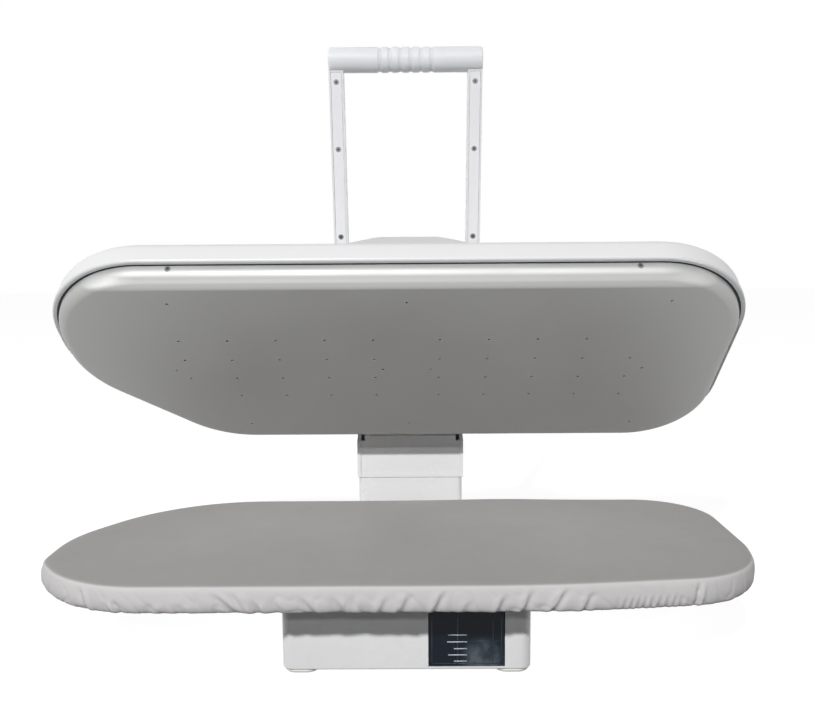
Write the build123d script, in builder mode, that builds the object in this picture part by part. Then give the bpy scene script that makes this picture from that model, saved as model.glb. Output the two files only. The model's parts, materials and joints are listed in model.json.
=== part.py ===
from build123d import *
import os
from math import cos, radians, sin, sqrt

# Steam press, in millimetres. X runs along the board, -Y is the front where the
# user stands and Z is up. The origin is the middle of the footprint, on the table.

# Clearances shared by all pieces
running_gap = 0.05          # radial, shaft in a turning bore
slide_gap = 0.3             # between bodies that slide or swing past each other
seat_gap = 0.2              # between pieces that are fitted loosely

# Board
board_length = 583.5
board_depth = 243.5
board_top = 99.7
cover_height = 23.5
cover_wall = 3.6
cover_lip_width = 14
cover_lip_thickness = 1.5
cover_cloth = 1.5           # the cloth on top of the foam
crown_height = 1
crown_inset = 24
foam_thickness = 11
pan_thickness = 1.2
pan_rim = 6

# Board outline: how far its corners are cut back, and their radii
nose_cut_x = 38.8           # front left
nose_cut_y = 62.6
nose_side_radius = 30
nose_front_radius = 105
front_bend_x = 109.8        # right of this the front edge runs back a little
front_bend_radius = 900
right_cut_x = 13.7          # front right
right_cut_y = 19.3
right_side_cut = 93.2
right_front_radius = 73.9
right_side_radius = 70.8
right_back_radius = 67.3
tail_cut_x = 71.4           # back left
tail_cut_y = 118.5
tail_back_radius = 151.4
tail_side_radius = 110.3

# Stand: neck, hinge and console share one centre line, right of the board's middle
stand_x = 7.6
base_offset = -3.3          # base centre from that line
handle_offset = -1.8        # handle centre from that line
base_width = 204.5
base_setback = 66           # base front behind the board front
base_wall = 3
base_top = 70
base_corner = 9
base_top_round = 2.5
base_bottom_round = 1.5
foot_height = 3.5
foot_size = 28
foot_inset = 1.5
foot_round = 2.4
base_sheet = 1.5            # steel plate under the housing
neck_gap = 6.5              # neck front behind the board back
neck_depth = 93
neck_wall = 3

# Water tank and its bay
tank_width = 62
tank_depth = 112
tank_height = 56
tank_wall = 2.2
tank_margin = 22.1          # base's right side to the tank
tank_floor = 8.5
tank_drop = 2.2             # the tank's front wall reaches this much below its floor
tank_step = 8               # the tank's lid lies this much below its front wall
tank_lid_thickness = 2.5
bay_wall = 1.5
cap_radius = 12
cap_height = 5
filler_radius = 8
valve_radius = 5

# Neck
neck_width = 103.4
cheek_width = 106
cheek_thickness = 3.5
neck_seam = 118.7
front_panel_top = 156.2
back_panel_top = 151.7
panel_setback = 1.5
panel_swell = 0.7           # the front panel's foot stands out a little
swell_height = 5
deck_top = 161.2            # deck between the cheeks, just under the shut arm
deck_thickness = 2

# Head, measured in the head's own frame: x along the plate, v from the plate's
# front edge to its back edge, t up from the plate's face
open_angle = 43
press_gap = 0.3             # plate to board when the head is shut
plate_x = -1.1
plate_length = 554.2
plate_depth = 230.5
plate_sole = 5
plate_height = 12
plate_rim = 6
plate_edge_round = 8.5
hinge_behind_plate = 72.2
hinge_above_plate = 70.9
cover_gap = 2.2             # plate side to head cover
cover_shell = 2.8
head_cover_bottom = 11
head_cover_top = 34
head_cover_round = 9
cover_rim_step = 1          # the head cover's rim stands out below
cover_rim_height = 5
cover_rim_round = 2.4

# Plate outline: how far its corners are cut back, and their radii
plate_nose_x = 48.7           # front left
plate_nose_y = 45.7
plate_nose_radius = 78
plate_front_radius = 76     # front right
plate_back_radius = 68      # back right
plate_tail_x = 106.3        # back left
plate_tail_y = 101.6
plate_tail_radius = 87

# Steam holes in the plate
hole_radius = 1.1
hole_pitch = 40
hole_row_pitch = 26.5
hole_rows = 4
hole_columns = 5
first_row = 79
left_columns_end = -21.5
right_columns_start = 33.5

# Layers inside the head
chamber_thickness = 1.5
insulation_thickness = 8
shield_thickness = 0.8
element_radius = 3.2
element_inset = 48

# Hinge
hinge_radius = 6
hinge_bore = 2.5
bush_wall = 3
hinge_boss = 18
column_plate = 3
column_half = 41            # inner face of each column plate from the centre line
column_depth = 51
arm_plate = 3
arm_half = 24               # inner face of each arm plate
arm_cover_half = 48.5
arm_cover_wall = 2.7
arm_cover_foot = 223        # back of the arm cover's foot, from the plate's front edge
skirt_v = 240               # lowest corner of the arm cover's underside
skirt_t = 58
barrel_radius = 24
cheek_boss = 25
collar_radius = 10
collar_width = 12
spring_radius = 14

# Console on the head
console_half = 54
console_top_half = 24
console_shoulder = 12       # height of its upright sides
console_round = 30
console_front = 14
console_length = 134
console_top = 54
console_wall = 2.5

# Controls
button_travel = 2
power_radius = 6
steam_radius = 9
dial_radius = 16
dial_height = 11
spindle_radius = 3
lens_radius = 2.5

# Handle
pivot_v = 269
pivot_t = 78
handle_rise = 35            # arms above the head's plane at rest
handle_reach = 328.4        # pivot to grip centre
handle_width = 141.8
arm_width = 13.5
arm_section = 15
arm_shell = 1.8
hub_radius = 9
pivot_radius = 4
grip_radius = 11.5
grip_end_round = 1.5
grip_groove_pitch = 9.5
grip_groove_radius = 3
grip_groove_depth = 1
grip_grooves = 6
strip_thickness = 1.6
strip_recess = 0.5
rod_radius = 4
handle_tab = 6
screw_radius = 1.1
screw_head_radius = 2.6
screw_head_height = 0.9
screw_setbacks = (19.1, 80.1, 163.5)    # from the grip's centre

# Places that follow from the sizes above
footprint_depth = board_depth + neck_gap + neck_depth
board_front = -footprint_depth / 2
board_back = board_front + board_depth
neck_front = board_back + neck_gap
stand_back = footprint_depth / 2
base_front = board_front + base_setback
base_bottom = foot_height
base_depth = stand_back - base_front
base_middle = (stand_back + base_front) / 2
floor_top = base_bottom + base_sheet
cover_bottom = board_top - cover_height
pocket_top = board_top - crown_height - cover_cloth
foam_top = pocket_top - seat_gap
foam_bottom = foam_top - foam_thickness
base_x = stand_x + base_offset
handle_x = stand_x + handle_offset
tank_x = base_x + base_width / 2 - tank_margin - tank_width / 2
plate_margin = (board_depth - plate_depth) / 2
shut_front = board_front + plate_margin
hinge_v = plate_depth + hinge_behind_plate
hinge_t = hinge_above_plate
hinge_y = shut_front + hinge_v
hinge_z = board_top + press_gap + hinge_t
tilt = radians(open_angle)
head_y = hinge_y - hinge_v * cos(tilt) - hinge_t * sin(tilt)
head_z = hinge_z + hinge_v * sin(tilt) - hinge_t * cos(tilt)
head_frame = Plane(origin=(0, head_y, head_z), x_dir=(1, 0, 0), z_dir=(0, sin(tilt), cos(tilt)))
shield_top = plate_height + chamber_thickness + insulation_thickness + shield_thickness
arm_rise = radians(open_angle + handle_rise)


def head_point(x, v, t):
    """A point given in the head's frame."""
    return head_frame.from_local_coords(Vector(x, v, t))


def head_level(t):
    """Plane parallel to the plate's face, at height t."""
    return head_frame.offset(t)


def head_section(x):
    """Upright plane along the head at x, drawn in (v, t)."""
    return Plane(origin=head_point(x, 0, 0), x_dir=(0, cos(tilt), -sin(tilt)), z_dir=(1, 0, 0))


def head_front(v):
    """Upright plane across the head at v, drawn in (x, t)."""
    return Plane(origin=head_point(0, v, 0), x_dir=(1, 0, 0), z_dir=(0, -cos(tilt), sin(tilt)))


head_up = Axis(origin=head_frame.origin, direction=head_frame.z_dir)
pivot = head_point(0, pivot_v, pivot_t)


def handle_section(x):
    """Upright plane along the handle's arms at x, drawn in (reach, depth below the arm)."""
    return Plane(
        origin=(x, pivot.Y, pivot.Z), x_dir=(0, -cos(arm_rise), sin(arm_rise)), z_dir=(1, 0, 0)
    )


def handle_underside(depth):
    """Plane along the arms, depth below their centre line, drawn in (x, reach)."""
    return Plane(
        origin=(0, pivot.Y - depth * sin(arm_rise), pivot.Z - depth * cos(arm_rise)),
        x_dir=(1, 0, 0),
        z_dir=(0, -sin(arm_rise), -cos(arm_rise)),
    )


def outline(corners, inset=0):
    """Closed outline through (x, y, radius) corners, counter-clockwise, moved inwards by inset."""
    points = []
    for index, (x, y, radius) in enumerate(corners):
        here = Vector(x, y)
        next_corner = corners[(index + 1) % len(corners)]
        coming = (here - Vector(*corners[index - 1][:2])).normalized()
        going = (Vector(*next_corner[:2]) - here).normalized()
        inward = Vector(-(coming.Y + going.Y), coming.X + going.X)
        points.append(here + inward * (inset / (1 + coming.dot(going))))
    radii = [radius - inset for x, y, radius in corners]
    with BuildSketch() as shape:
        with BuildLine():
            FilletPolyline(*points, radius=radii, close=True)
        make_face()
    return shape.sketch


# The board's outline: a long taper at the back left and rounder corners in front
board_left = -board_length / 2
board_right = board_length / 2
board_corners = (
    (board_left, board_front + nose_cut_y, nose_side_radius),
    (board_left + nose_cut_x, board_front, nose_front_radius),
    (front_bend_x, board_front, front_bend_radius),
    (board_right - right_cut_x, board_front + right_cut_y, right_front_radius),
    (board_right, board_front + right_side_cut, right_side_radius),
    (board_right, board_back, right_back_radius),
    (board_left + tail_cut_x, board_back, tail_back_radius),
    (board_left, board_back - tail_cut_y, tail_side_radius),
)

# The plate's outline, in the head's frame
plate_left = plate_x - plate_length / 2
plate_right = plate_x + plate_length / 2
plate_corners = (
    (plate_left, plate_nose_y, plate_nose_radius),
    (plate_left + plate_nose_x, 0, plate_nose_radius),
    (plate_right, 0, plate_front_radius),
    (plate_right, plate_depth, plate_back_radius),
    (plate_left + plate_tail_x, plate_depth, plate_tail_radius),
    (plate_left, plate_depth - plate_tail_y, plate_tail_radius),
)


def board_outline(inset):
    """The board's outline, drawn in by inset."""
    return outline(board_corners, inset)


def plate_outline(growth):
    """The heating plate's outline, moved outwards by growth."""
    return outline(plate_corners, -growth)


# Feet: four pads under the base's corners, rounded towards the table
foot_span_x = base_width - foot_size - 2 * foot_inset
foot_span_y = base_depth - foot_size - 2 * foot_inset
with BuildPart() as feet:
    with BuildSketch(Plane.XY):
        with Locations((base_x, base_middle)):
            with GridLocations(foot_span_x, foot_span_y, 2, 2):
                RectangleRounded(foot_size, foot_size, foot_size / 3)
    extrude(amount=foot_height)
    fillet(feet.faces().sort_by(Axis.Z)[0:4].edges(), foot_round)

# Base plate: steel sheet that closes the housing from below
base_screw_edge = 13        # screws to the base's sides
base_screw_setback = 38     # screws to the base's front and back
base_screw_radius = 1.25
base_screw_hole = 1.6
base_screw_boss = 4.5
base_screw_length = 12
base_screw_head = 1.2
base_screw_head_radius = 3
cross_length = 3.6
cross_width = 0.9
cross_depth = 0.7
screw_span_x = base_width - 2 * base_screw_edge
screw_span_y = base_depth - 2 * base_screw_setback
with BuildPart() as base_plate:
    with BuildSketch(Plane.XY.offset(base_bottom)):
        with Locations((base_x, base_middle)):
            RectangleRounded(
                base_width - 2 * (base_wall + seat_gap),
                base_depth - 2 * (base_wall + seat_gap),
                base_corner - base_wall,
            )
            with GridLocations(screw_span_x, screw_span_y, 2, 2):
                Circle(base_screw_hole, mode=Mode.SUBTRACT)
    extrude(amount=base_sheet)

# Base housing: white shell, open below, with the tank's doorway in front
doorway_width = tank_width + 2 * slide_gap
doorway_bottom = tank_floor - tank_drop - slide_gap
doorway_top = tank_floor + tank_height + slide_gap
neck_hole_depth = neck_depth - 4 * neck_wall
gland_x = base_x - 60
gland_z = 30
gland_radius = 8
gland_bore = 3.6
with BuildPart() as base_housing:
    with BuildSketch(Plane.XY.offset(base_bottom)):
        with Locations((base_x, base_middle)):
            RectangleRounded(base_width, base_depth, base_corner)
    extrude(amount=base_top - base_bottom)
    fillet(base_housing.faces().sort_by(Axis.Z)[-1].edges(), base_top_round)
    fillet(base_housing.faces().sort_by(Axis.Z)[0].edges(), base_bottom_round)
    with BuildSketch(Plane.XY.offset(base_bottom)):
        with Locations((base_x, base_middle)):
            RectangleRounded(
                base_width - 2 * base_wall, base_depth - 2 * base_wall, base_corner - base_wall
            )
    extrude(amount=base_top - base_wall - base_bottom, mode=Mode.SUBTRACT)
    with BuildSketch(Plane.XY.offset(floor_top)):
        with Locations((base_x, base_middle)):
            with GridLocations(screw_span_x, screw_span_y, 2, 2):
                Circle(base_screw_boss)
                Circle(base_screw_radius, mode=Mode.SUBTRACT)
    extrude(amount=base_top - base_wall - floor_top)
    with BuildSketch(Plane.XZ.offset(-base_front)):
        with Locations((tank_x, (doorway_bottom + doorway_top) / 2)):
            Rectangle(doorway_width, doorway_top - doorway_bottom)
    extrude(amount=-base_wall, mode=Mode.SUBTRACT)
    with BuildSketch(Plane.XY.offset(base_top)):
        with Locations((stand_x, neck_front + neck_depth / 2)):
            Rectangle(neck_width - 4 * neck_wall, neck_hole_depth)
    extrude(amount=-base_wall, mode=Mode.SUBTRACT)
    with BuildSketch(Plane.XZ.offset(-stand_back)):
        with Locations((gland_x, gland_z)):
            Circle(gland_radius)
    extrude(amount=base_wall, mode=Mode.SUBTRACT)

# Base screws: up through the plate into the housing's bosses
with BuildPart() as base_screws:
    with BuildSketch(Plane.XY.offset(base_bottom - base_screw_head)):
        with Locations((base_x, base_middle)):
            with GridLocations(screw_span_x, screw_span_y, 2, 2):
                Circle(base_screw_head_radius)
    extrude(amount=base_screw_head)
    with BuildSketch(Plane.XY.offset(base_bottom)):
        with Locations((base_x, base_middle)):
            with GridLocations(screw_span_x, screw_span_y, 2, 2):
                Circle(base_screw_radius)
    extrude(amount=base_screw_length)
    with BuildSketch(Plane.XY.offset(base_bottom - base_screw_head)):
        with Locations((base_x, base_middle)):
            with GridLocations(screw_span_x, screw_span_y, 2, 2):
                Rectangle(cross_length, cross_width)
                Rectangle(cross_width, cross_length)
    extrude(amount=cross_depth, mode=Mode.SUBTRACT)

# Tank bay: sleeve behind the doorway, closed at the back but for the valve's hole
bay_front = base_front + base_wall
bay_back = base_front + tank_depth + 2
bay_inner_width = doorway_width
bay_bottom = tank_floor - slide_gap
bay_floor = bay_bottom - bay_wall
bay_roof = base_top - base_wall
bay_foot = 6
bay_foot_inset = 20
valve_flange = valve_radius + 1.2
valve_bore = 1.8
valve_z = tank_floor + tank_wall + valve_flange + 0.8
with BuildPart() as tank_bay:
    with BuildSketch(Plane.XZ.offset(-bay_front)):
        with Locations((tank_x, (bay_floor + bay_roof) / 2)):
            Rectangle(bay_inner_width + 2 * bay_wall, bay_roof - bay_floor)
    extrude(amount=-(bay_back + bay_wall - bay_front))
    with BuildSketch(Plane.XZ.offset(-bay_front)):
        with Locations((tank_x, (bay_bottom + bay_roof - bay_wall) / 2)):
            Rectangle(bay_inner_width, bay_roof - bay_wall - bay_bottom)
    extrude(amount=-(bay_back - bay_front), mode=Mode.SUBTRACT)
    with BuildSketch(Plane.XZ.offset(-bay_back)):
        with Locations((tank_x, valve_z)):
            Circle(valve_radius + 1)
    extrude(amount=-bay_wall, mode=Mode.SUBTRACT)
    with BuildSketch(Plane.XY.offset(floor_top)):
        with Locations((tank_x, bay_front + bay_foot_inset), (tank_x, bay_back - bay_foot_inset)):
            Rectangle(bay_inner_width, bay_foot)
    extrude(amount=bay_floor - floor_top)

# Tank shell: open box with a taller front wall
tank_front = base_front
tank_back = tank_front + tank_depth
tank_rim = tank_floor + tank_height - tank_step
with BuildPart() as tank_shell:
    with BuildSketch(Plane.XY.offset(tank_floor)):
        with Locations((tank_x, (tank_front + tank_back) / 2)):
            Rectangle(tank_width, tank_depth)
    extrude(amount=tank_rim - tank_floor)
    with BuildSketch(Plane.XY.offset(tank_floor - tank_drop)):
        with Locations((tank_x, tank_front + tank_wall / 2)):
            Rectangle(tank_width, tank_wall)
    extrude(amount=tank_height + tank_drop)
    fillet(tank_shell.faces().sort_by(Axis.Y)[-1].edges().filter_by(Axis.Z), 4)
    fillet(tank_shell.faces().sort_by(Axis.Y)[0].edges(), 0.8)
    with BuildSketch(Plane.XY.offset(tank_floor + tank_wall)):
        with Locations((tank_x, (tank_front + tank_back) / 2)):
            RectangleRounded(tank_width - 2 * tank_wall, tank_depth - 2 * tank_wall, 2)
    extrude(amount=tank_height, mode=Mode.SUBTRACT)
    with BuildSketch(Plane.XZ.offset(-tank_back)):
        with Locations((tank_x, valve_z)):
            Circle(valve_radius)
    extrude(amount=tank_wall, mode=Mode.SUBTRACT)

# Tank lid: sits on the tank's rim behind the front wall, with the filler hole
filler_y = tank_front + 32
lid_rib_height = 3
lid_rib_width = 1.5
lid_rib_length = tank_width - 2 * (tank_wall + seat_gap)
lid_rib_depth = tank_depth - 2 * (tank_wall + seat_gap)
with BuildPart() as tank_lid:
    with BuildSketch(Plane.XY.offset(tank_rim)):
        with Locations((tank_x, (tank_front + tank_wall + seat_gap + tank_back) / 2)):
            RectangleRounded(tank_width - 1, tank_depth - tank_wall - seat_gap, 3)
        with Locations((tank_x, filler_y)):
            Circle(filler_radius, mode=Mode.SUBTRACT)
    extrude(amount=tank_lid_thickness)
    with BuildSketch(Plane.XY.offset(tank_rim)):
        with Locations((tank_x, (tank_front + tank_back) / 2)):
            RectangleRounded(lid_rib_length, lid_rib_depth, 2)
            RectangleRounded(
                lid_rib_length - 2 * lid_rib_width,
                lid_rib_depth - 2 * lid_rib_width,
                1,
                mode=Mode.SUBTRACT,
            )
    extrude(amount=-lid_rib_height)

# Filler cap: quarter-turn cap with a grip bar and a stem in the filler hole
lid_top = tank_rim + tank_lid_thickness
cap_disc = 1.6
cap_bar = 4
stem_depth = 2
stem_bore = filler_radius - 2
with BuildPart() as filler_cap:
    with BuildSketch(Plane.XY.offset(lid_top + slide_gap)):
        with Locations((tank_x, filler_y)):
            Circle(cap_radius)
    extrude(amount=cap_disc)
    with BuildSketch(Plane.XY.offset(lid_top + slide_gap + cap_disc)):
        with Locations((tank_x, filler_y)):
            SlotOverall(2 * cap_radius - cap_bar, cap_bar)
    extrude(amount=cap_height - cap_disc)
    with BuildSketch(Plane.XY.offset(tank_rim - stem_depth)):
        with Locations((tank_x, filler_y)):
            Circle(filler_radius - running_gap)
            Circle(stem_bore, mode=Mode.SUBTRACT)
    extrude(amount=tank_lid_thickness + stem_depth + slide_gap)

# Cap seal: ring under the cap's stem
seal_height = 2
seal_inset = 0.4
with BuildPart() as cap_seal:
    with BuildSketch(Plane.XY.offset(tank_rim - stem_depth - seal_height)):
        with Locations((tank_x, filler_y)):
            Circle(filler_radius - seal_inset)
            Circle(stem_bore, mode=Mode.SUBTRACT)
    extrude(amount=seal_height)

# Tank valve: spigot through the tank's back wall
flange_thickness = 2
spigot_length = 5
valve_front = tank_back - tank_wall - flange_thickness
with BuildPart() as tank_valve:
    with BuildSketch(Plane.XZ.offset(-valve_front)):
        with Locations((tank_x, valve_z)):
            Circle(valve_flange)
    extrude(amount=-flange_thickness)
    with BuildSketch(Plane.XZ.offset(-(tank_back - tank_wall))):
        with Locations((tank_x, valve_z)):
            Circle(valve_radius)
    extrude(amount=-(tank_wall + spigot_length))
    with BuildSketch(Plane.XZ.offset(-valve_front)):
        with Locations((tank_x, valve_z)):
            Circle(valve_bore)
    extrude(amount=-(flange_thickness + tank_wall + spigot_length), mode=Mode.SUBTRACT)

# Tank socket: the valve's seat on the back of the bay, with a hose tail
socket_front = bay_back + bay_wall
socket_back = socket_front + 12
socket_wall = 4
socket_depth = 6
with BuildPart() as tank_socket:
    with BuildSketch(Plane.XZ.offset(-socket_front)):
        with Locations((tank_x, valve_z)):
            Circle(valve_radius + socket_wall)
    extrude(amount=-(socket_back - socket_front))
    with BuildSketch(Plane.XZ.offset(-socket_front)):
        with Locations((tank_x, valve_z)):
            Circle(valve_radius + 2 * running_gap)
    extrude(amount=-socket_depth, mode=Mode.SUBTRACT)
    with BuildSketch(Plane.XZ.offset(-socket_front)):
        with Locations((tank_x, valve_z)):
            Circle(valve_bore)
    extrude(amount=-(socket_back - socket_front), mode=Mode.SUBTRACT)

# Water pump: solenoid pump lying along X on two saddles
pump_x = base_x - 60
pump_y = 62
pump_z = 24
pump_radius = 8
pump_length = 54
pump_tail = 5
outlet_x = pump_x - pump_length / 2 + 6
outlet_length = 6
saddle_width = 6
saddle_spread = 20
hose_radius = 3.2
hose_bore = 1.9
with BuildPart() as water_pump:
    with BuildSketch(Plane.YZ.offset(pump_x - pump_length / 2)):
        with Locations((pump_y, pump_z)):
            Circle(pump_radius)
    extrude(amount=pump_length)
    with BuildSketch(Plane.YZ.offset(pump_x + pump_length / 2)):
        with Locations((pump_y, pump_z)):
            Circle(hose_radius)
    extrude(amount=pump_tail)
    with BuildSketch(Plane.XZ.offset(-pump_y)):
        with Locations((outlet_x, pump_z)):
            Circle(hose_radius)
    extrude(amount=-(pump_radius + outlet_length))
    with BuildSketch(Plane.XY.offset(floor_top)):
        with Locations((pump_x, pump_y)):
            with GridLocations(2 * saddle_spread, 1, 2, 1):
                Rectangle(saddle_width, 1.5 * pump_radius)
    extrude(amount=pump_z - floor_top)

# Pump coil: square winding block round the pump's middle
coil_length = 28
coil_size = 30
coil_corner = 4
with BuildPart() as pump_coil:
    with BuildSketch(Plane.YZ.offset(pump_x - coil_length / 2)):
        with Locations((pump_y, pump_z)):
            RectangleRounded(coil_size, coil_size, coil_corner)
            Circle(pump_radius, mode=Mode.SUBTRACT)
    extrude(amount=coil_length)

# Suction hose: from the socket to the pump
suction_end = pump_x + pump_length / 2 + pump_tail
suction_points = (
    (tank_x, socket_back, valve_z),
    (tank_x, socket_back + 18, valve_z),
    (tank_x - 18, socket_back + 33, valve_z + 3),
    (suction_end + 18, pump_y, pump_z),
    (suction_end, pump_y, pump_z),
)
with BuildPart() as suction_hose:
    with BuildLine() as suction_route:
        FilletPolyline(*suction_points, radius=(18, 30, 30))
    with BuildSketch(Plane(origin=suction_route.line @ 0, z_dir=suction_route.line % 0)):
        Circle(hose_radius)
        Circle(hose_bore, mode=Mode.SUBTRACT)
    sweep()

# Feed hose: from the pump up the neck to the banjo on the hinge shaft
banjo_x = stand_x - (arm_half + arm_plate + column_half) / 2
banjo_width = 8
banjo_tail = 8
feed_start_y = pump_y + pump_radius + outlet_length
feed_points = (
    (outlet_x, feed_start_y, pump_z),
    (outlet_x, feed_start_y + 16, pump_z),
    (banjo_x - 14, feed_start_y + 20, pump_z + 12),
    (banjo_x, feed_start_y + 22, pump_z + 34),
    (banjo_x, feed_start_y + 28, pump_z + 66),
    (banjo_x, hinge_y, pump_z + 98),
    (banjo_x, hinge_y, hinge_z - collar_radius - banjo_tail),
)
with BuildPart() as feed_hose:
    with BuildLine() as feed_route:
        FilletPolyline(*feed_points, radius=(16, 18, 30, 30, 24))
    with BuildSketch(Plane(origin=feed_route.line @ 0, z_dir=feed_route.line % 0)):
        Circle(hose_radius)
        Circle(hose_bore, mode=Mode.SUBTRACT)
    sweep()

# Feed banjo: fixed fitting that lets the water into the hinge shaft
with BuildPart() as feed_banjo:
    with BuildSketch(Plane.YZ.offset(banjo_x - banjo_width / 2)):
        with Locations((hinge_y, hinge_z)):
            Circle(collar_radius)
    extrude(amount=banjo_width)
    with BuildSketch(Plane.XY.offset(hinge_z - collar_radius - banjo_tail)):
        with Locations((banjo_x, hinge_y)):
            Circle(hose_radius)
    extrude(amount=banjo_tail + 2)
    with BuildSketch(Plane.YZ.offset(banjo_x - banjo_width / 2)):
        with Locations((hinge_y, hinge_z)):
            Circle(hinge_radius)
    extrude(amount=banjo_width, mode=Mode.SUBTRACT)
    with BuildSketch(Plane.XY.offset(hinge_z - collar_radius - banjo_tail)):
        with Locations((banjo_x, hinge_y)):
            Circle(hose_bore)
    extrude(amount=banjo_tail + collar_radius, mode=Mode.SUBTRACT)

# Column frame: two upright steel plates, a back web and a foot bolted to the base
column_front = hinge_y - column_depth / 2
column_back = hinge_y + column_depth / 2
column_outer = 2 * (column_half + column_plate)
web_top = back_panel_top - 12
column_bolt_span_x = 50
column_bolt_span_y = 24
column_bolt_radius = 2.5
column_bolt_head = 4.6
column_bolt_height = 3.5
with BuildPart() as column_frame:
    with BuildSketch(Plane.YZ.offset(stand_x - column_half - column_plate)):
        with Locations((hinge_y, (floor_top + hinge_z) / 2)):
            Rectangle(column_depth, hinge_z - floor_top)
        with Locations((hinge_y, hinge_z)):
            Circle(hinge_boss)
        with Locations((hinge_y, hinge_z)):
            Circle(hinge_radius, mode=Mode.SUBTRACT)
    extrude(amount=column_outer)
    with BuildSketch(Plane.XY.offset(floor_top + column_plate)):
        with Locations((stand_x, hinge_y - column_plate)):
            Rectangle(2 * column_half, column_depth)
    extrude(amount=hinge_z + 2 * hinge_boss, mode=Mode.SUBTRACT)
    with BuildSketch(Plane.XY.offset(web_top)):
        with Locations((stand_x, hinge_y)):
            Rectangle(2 * column_half, 2 * column_depth)
    extrude(amount=2 * column_depth, mode=Mode.SUBTRACT)
    with BuildSketch(Plane.XY.offset(floor_top)):
        with Locations((stand_x, hinge_y)):
            with GridLocations(column_bolt_span_x, column_bolt_span_y, 2, 2):
                Circle(column_bolt_radius + 2 * running_gap)
    extrude(amount=column_plate, mode=Mode.SUBTRACT)

# Column bolts: hold the column frame's foot down
with BuildPart() as column_bolts:
    with BuildSketch(Plane.XY.offset(floor_top + column_plate)):
        with Locations((stand_x, hinge_y)):
            with GridLocations(column_bolt_span_x, column_bolt_span_y, 2, 2):
                RegularPolygon(column_bolt_head, 6)
    extrude(amount=column_bolt_height)
    with BuildSketch(Plane.XY.offset(floor_top)):
        with Locations((stand_x, hinge_y)):
            with GridLocations(column_bolt_span_x, column_bolt_span_y, 2, 2):
                Circle(column_bolt_radius)
    extrude(amount=column_plate)

# Hinge shaft: fixed in the column, bored from the banjo to the collar
shaft_overhang = 1.2
shaft_half = column_half + column_plate + shaft_overhang
with BuildPart() as hinge_shaft:
    with BuildSketch(Plane.YZ.offset(stand_x - shaft_half)):
        with Locations((hinge_y, hinge_z)):
            Circle(hinge_radius)
    extrude(amount=2 * shaft_half)
    with BuildSketch(Plane.YZ.offset(banjo_x)):
        with Locations((hinge_y, hinge_z)):
            Circle(hinge_bore)
    extrude(amount=stand_x - banjo_x, mode=Mode.SUBTRACT)
    with BuildSketch(Plane.XY.offset(hinge_z)):
        with Locations((banjo_x, hinge_y)):
            Circle(hose_bore)
    extrude(amount=-hinge_radius, mode=Mode.SUBTRACT)
    with BuildSketch(Plane.XZ.offset(-hinge_y)):
        with Locations((stand_x, hinge_z)):
            Circle(hose_bore)
    extrude(amount=hinge_radius, mode=Mode.SUBTRACT)

# Hinge bushes: flanged, pressed in the arm plates, running on the shaft
bush_flange = 2
with BuildPart() as hinge_bushes:
    with BuildSketch(Plane.YZ.offset(stand_x + arm_half)):
        with Locations((hinge_y, hinge_z)):
            Circle(hinge_radius + bush_wall)
    extrude(amount=arm_plate)
    with BuildSketch(Plane.YZ.offset(stand_x + arm_half + arm_plate)):
        with Locations((hinge_y, hinge_z)):
            Circle(hinge_radius + bush_wall + bush_flange)
    extrude(amount=bush_flange)
    mirror(about=Plane.YZ.offset(stand_x))
    with BuildSketch(Plane.YZ.offset(stand_x - column_half)):
        with Locations((hinge_y, hinge_z)):
            Circle(hinge_radius + running_gap)
    extrude(amount=2 * column_half, mode=Mode.SUBTRACT)

# Hinge spacer: fills the shaft between the right bush and the column plate
spacer_start = arm_half + arm_plate + bush_flange + slide_gap
with BuildPart() as hinge_spacer:
    with BuildSketch(Plane.YZ.offset(stand_x + spacer_start)):
        with Locations((hinge_y, hinge_z)):
            Circle(hinge_radius + bush_wall)
            Circle(hinge_radius, mode=Mode.SUBTRACT)
    extrude(amount=column_half - spacer_start)

# Lift springs: torsion springs round the shaft that hold the head open
spring_start = collar_width / 2 + slide_gap
spring_length = arm_half - spring_start - slide_gap
with BuildPart() as lift_springs:
    with BuildSketch(Plane.YZ.offset(stand_x + spring_start)):
        with Locations((hinge_y, hinge_z)):
            Circle(spring_radius)
            Circle(hinge_radius, mode=Mode.SUBTRACT)
    extrude(amount=spring_length)
    mirror(about=Plane.YZ.offset(stand_x))

# Neck housing: the lower white piece, from the base's top to the seam
neck_step = 0.7             # the lower piece stands back from the cheeks
neck_corner = 5
neck_back = stand_back - neck_step
neck_low_front = neck_front + neck_step
neck_middle = (neck_low_front + neck_back) / 2
with BuildPart() as neck_housing:
    with BuildSketch(Plane.XY.offset(base_top)):
        with Locations((stand_x, neck_middle)):
            RectangleRounded(neck_width, neck_back - neck_low_front, neck_corner)
            RectangleRounded(
                neck_width - 2 * neck_wall,
                neck_back - neck_low_front - 2 * neck_wall,
                neck_corner - neck_wall,
                mode=Mode.SUBTRACT,
            )
    extrude(amount=neck_seam - base_top)

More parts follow.
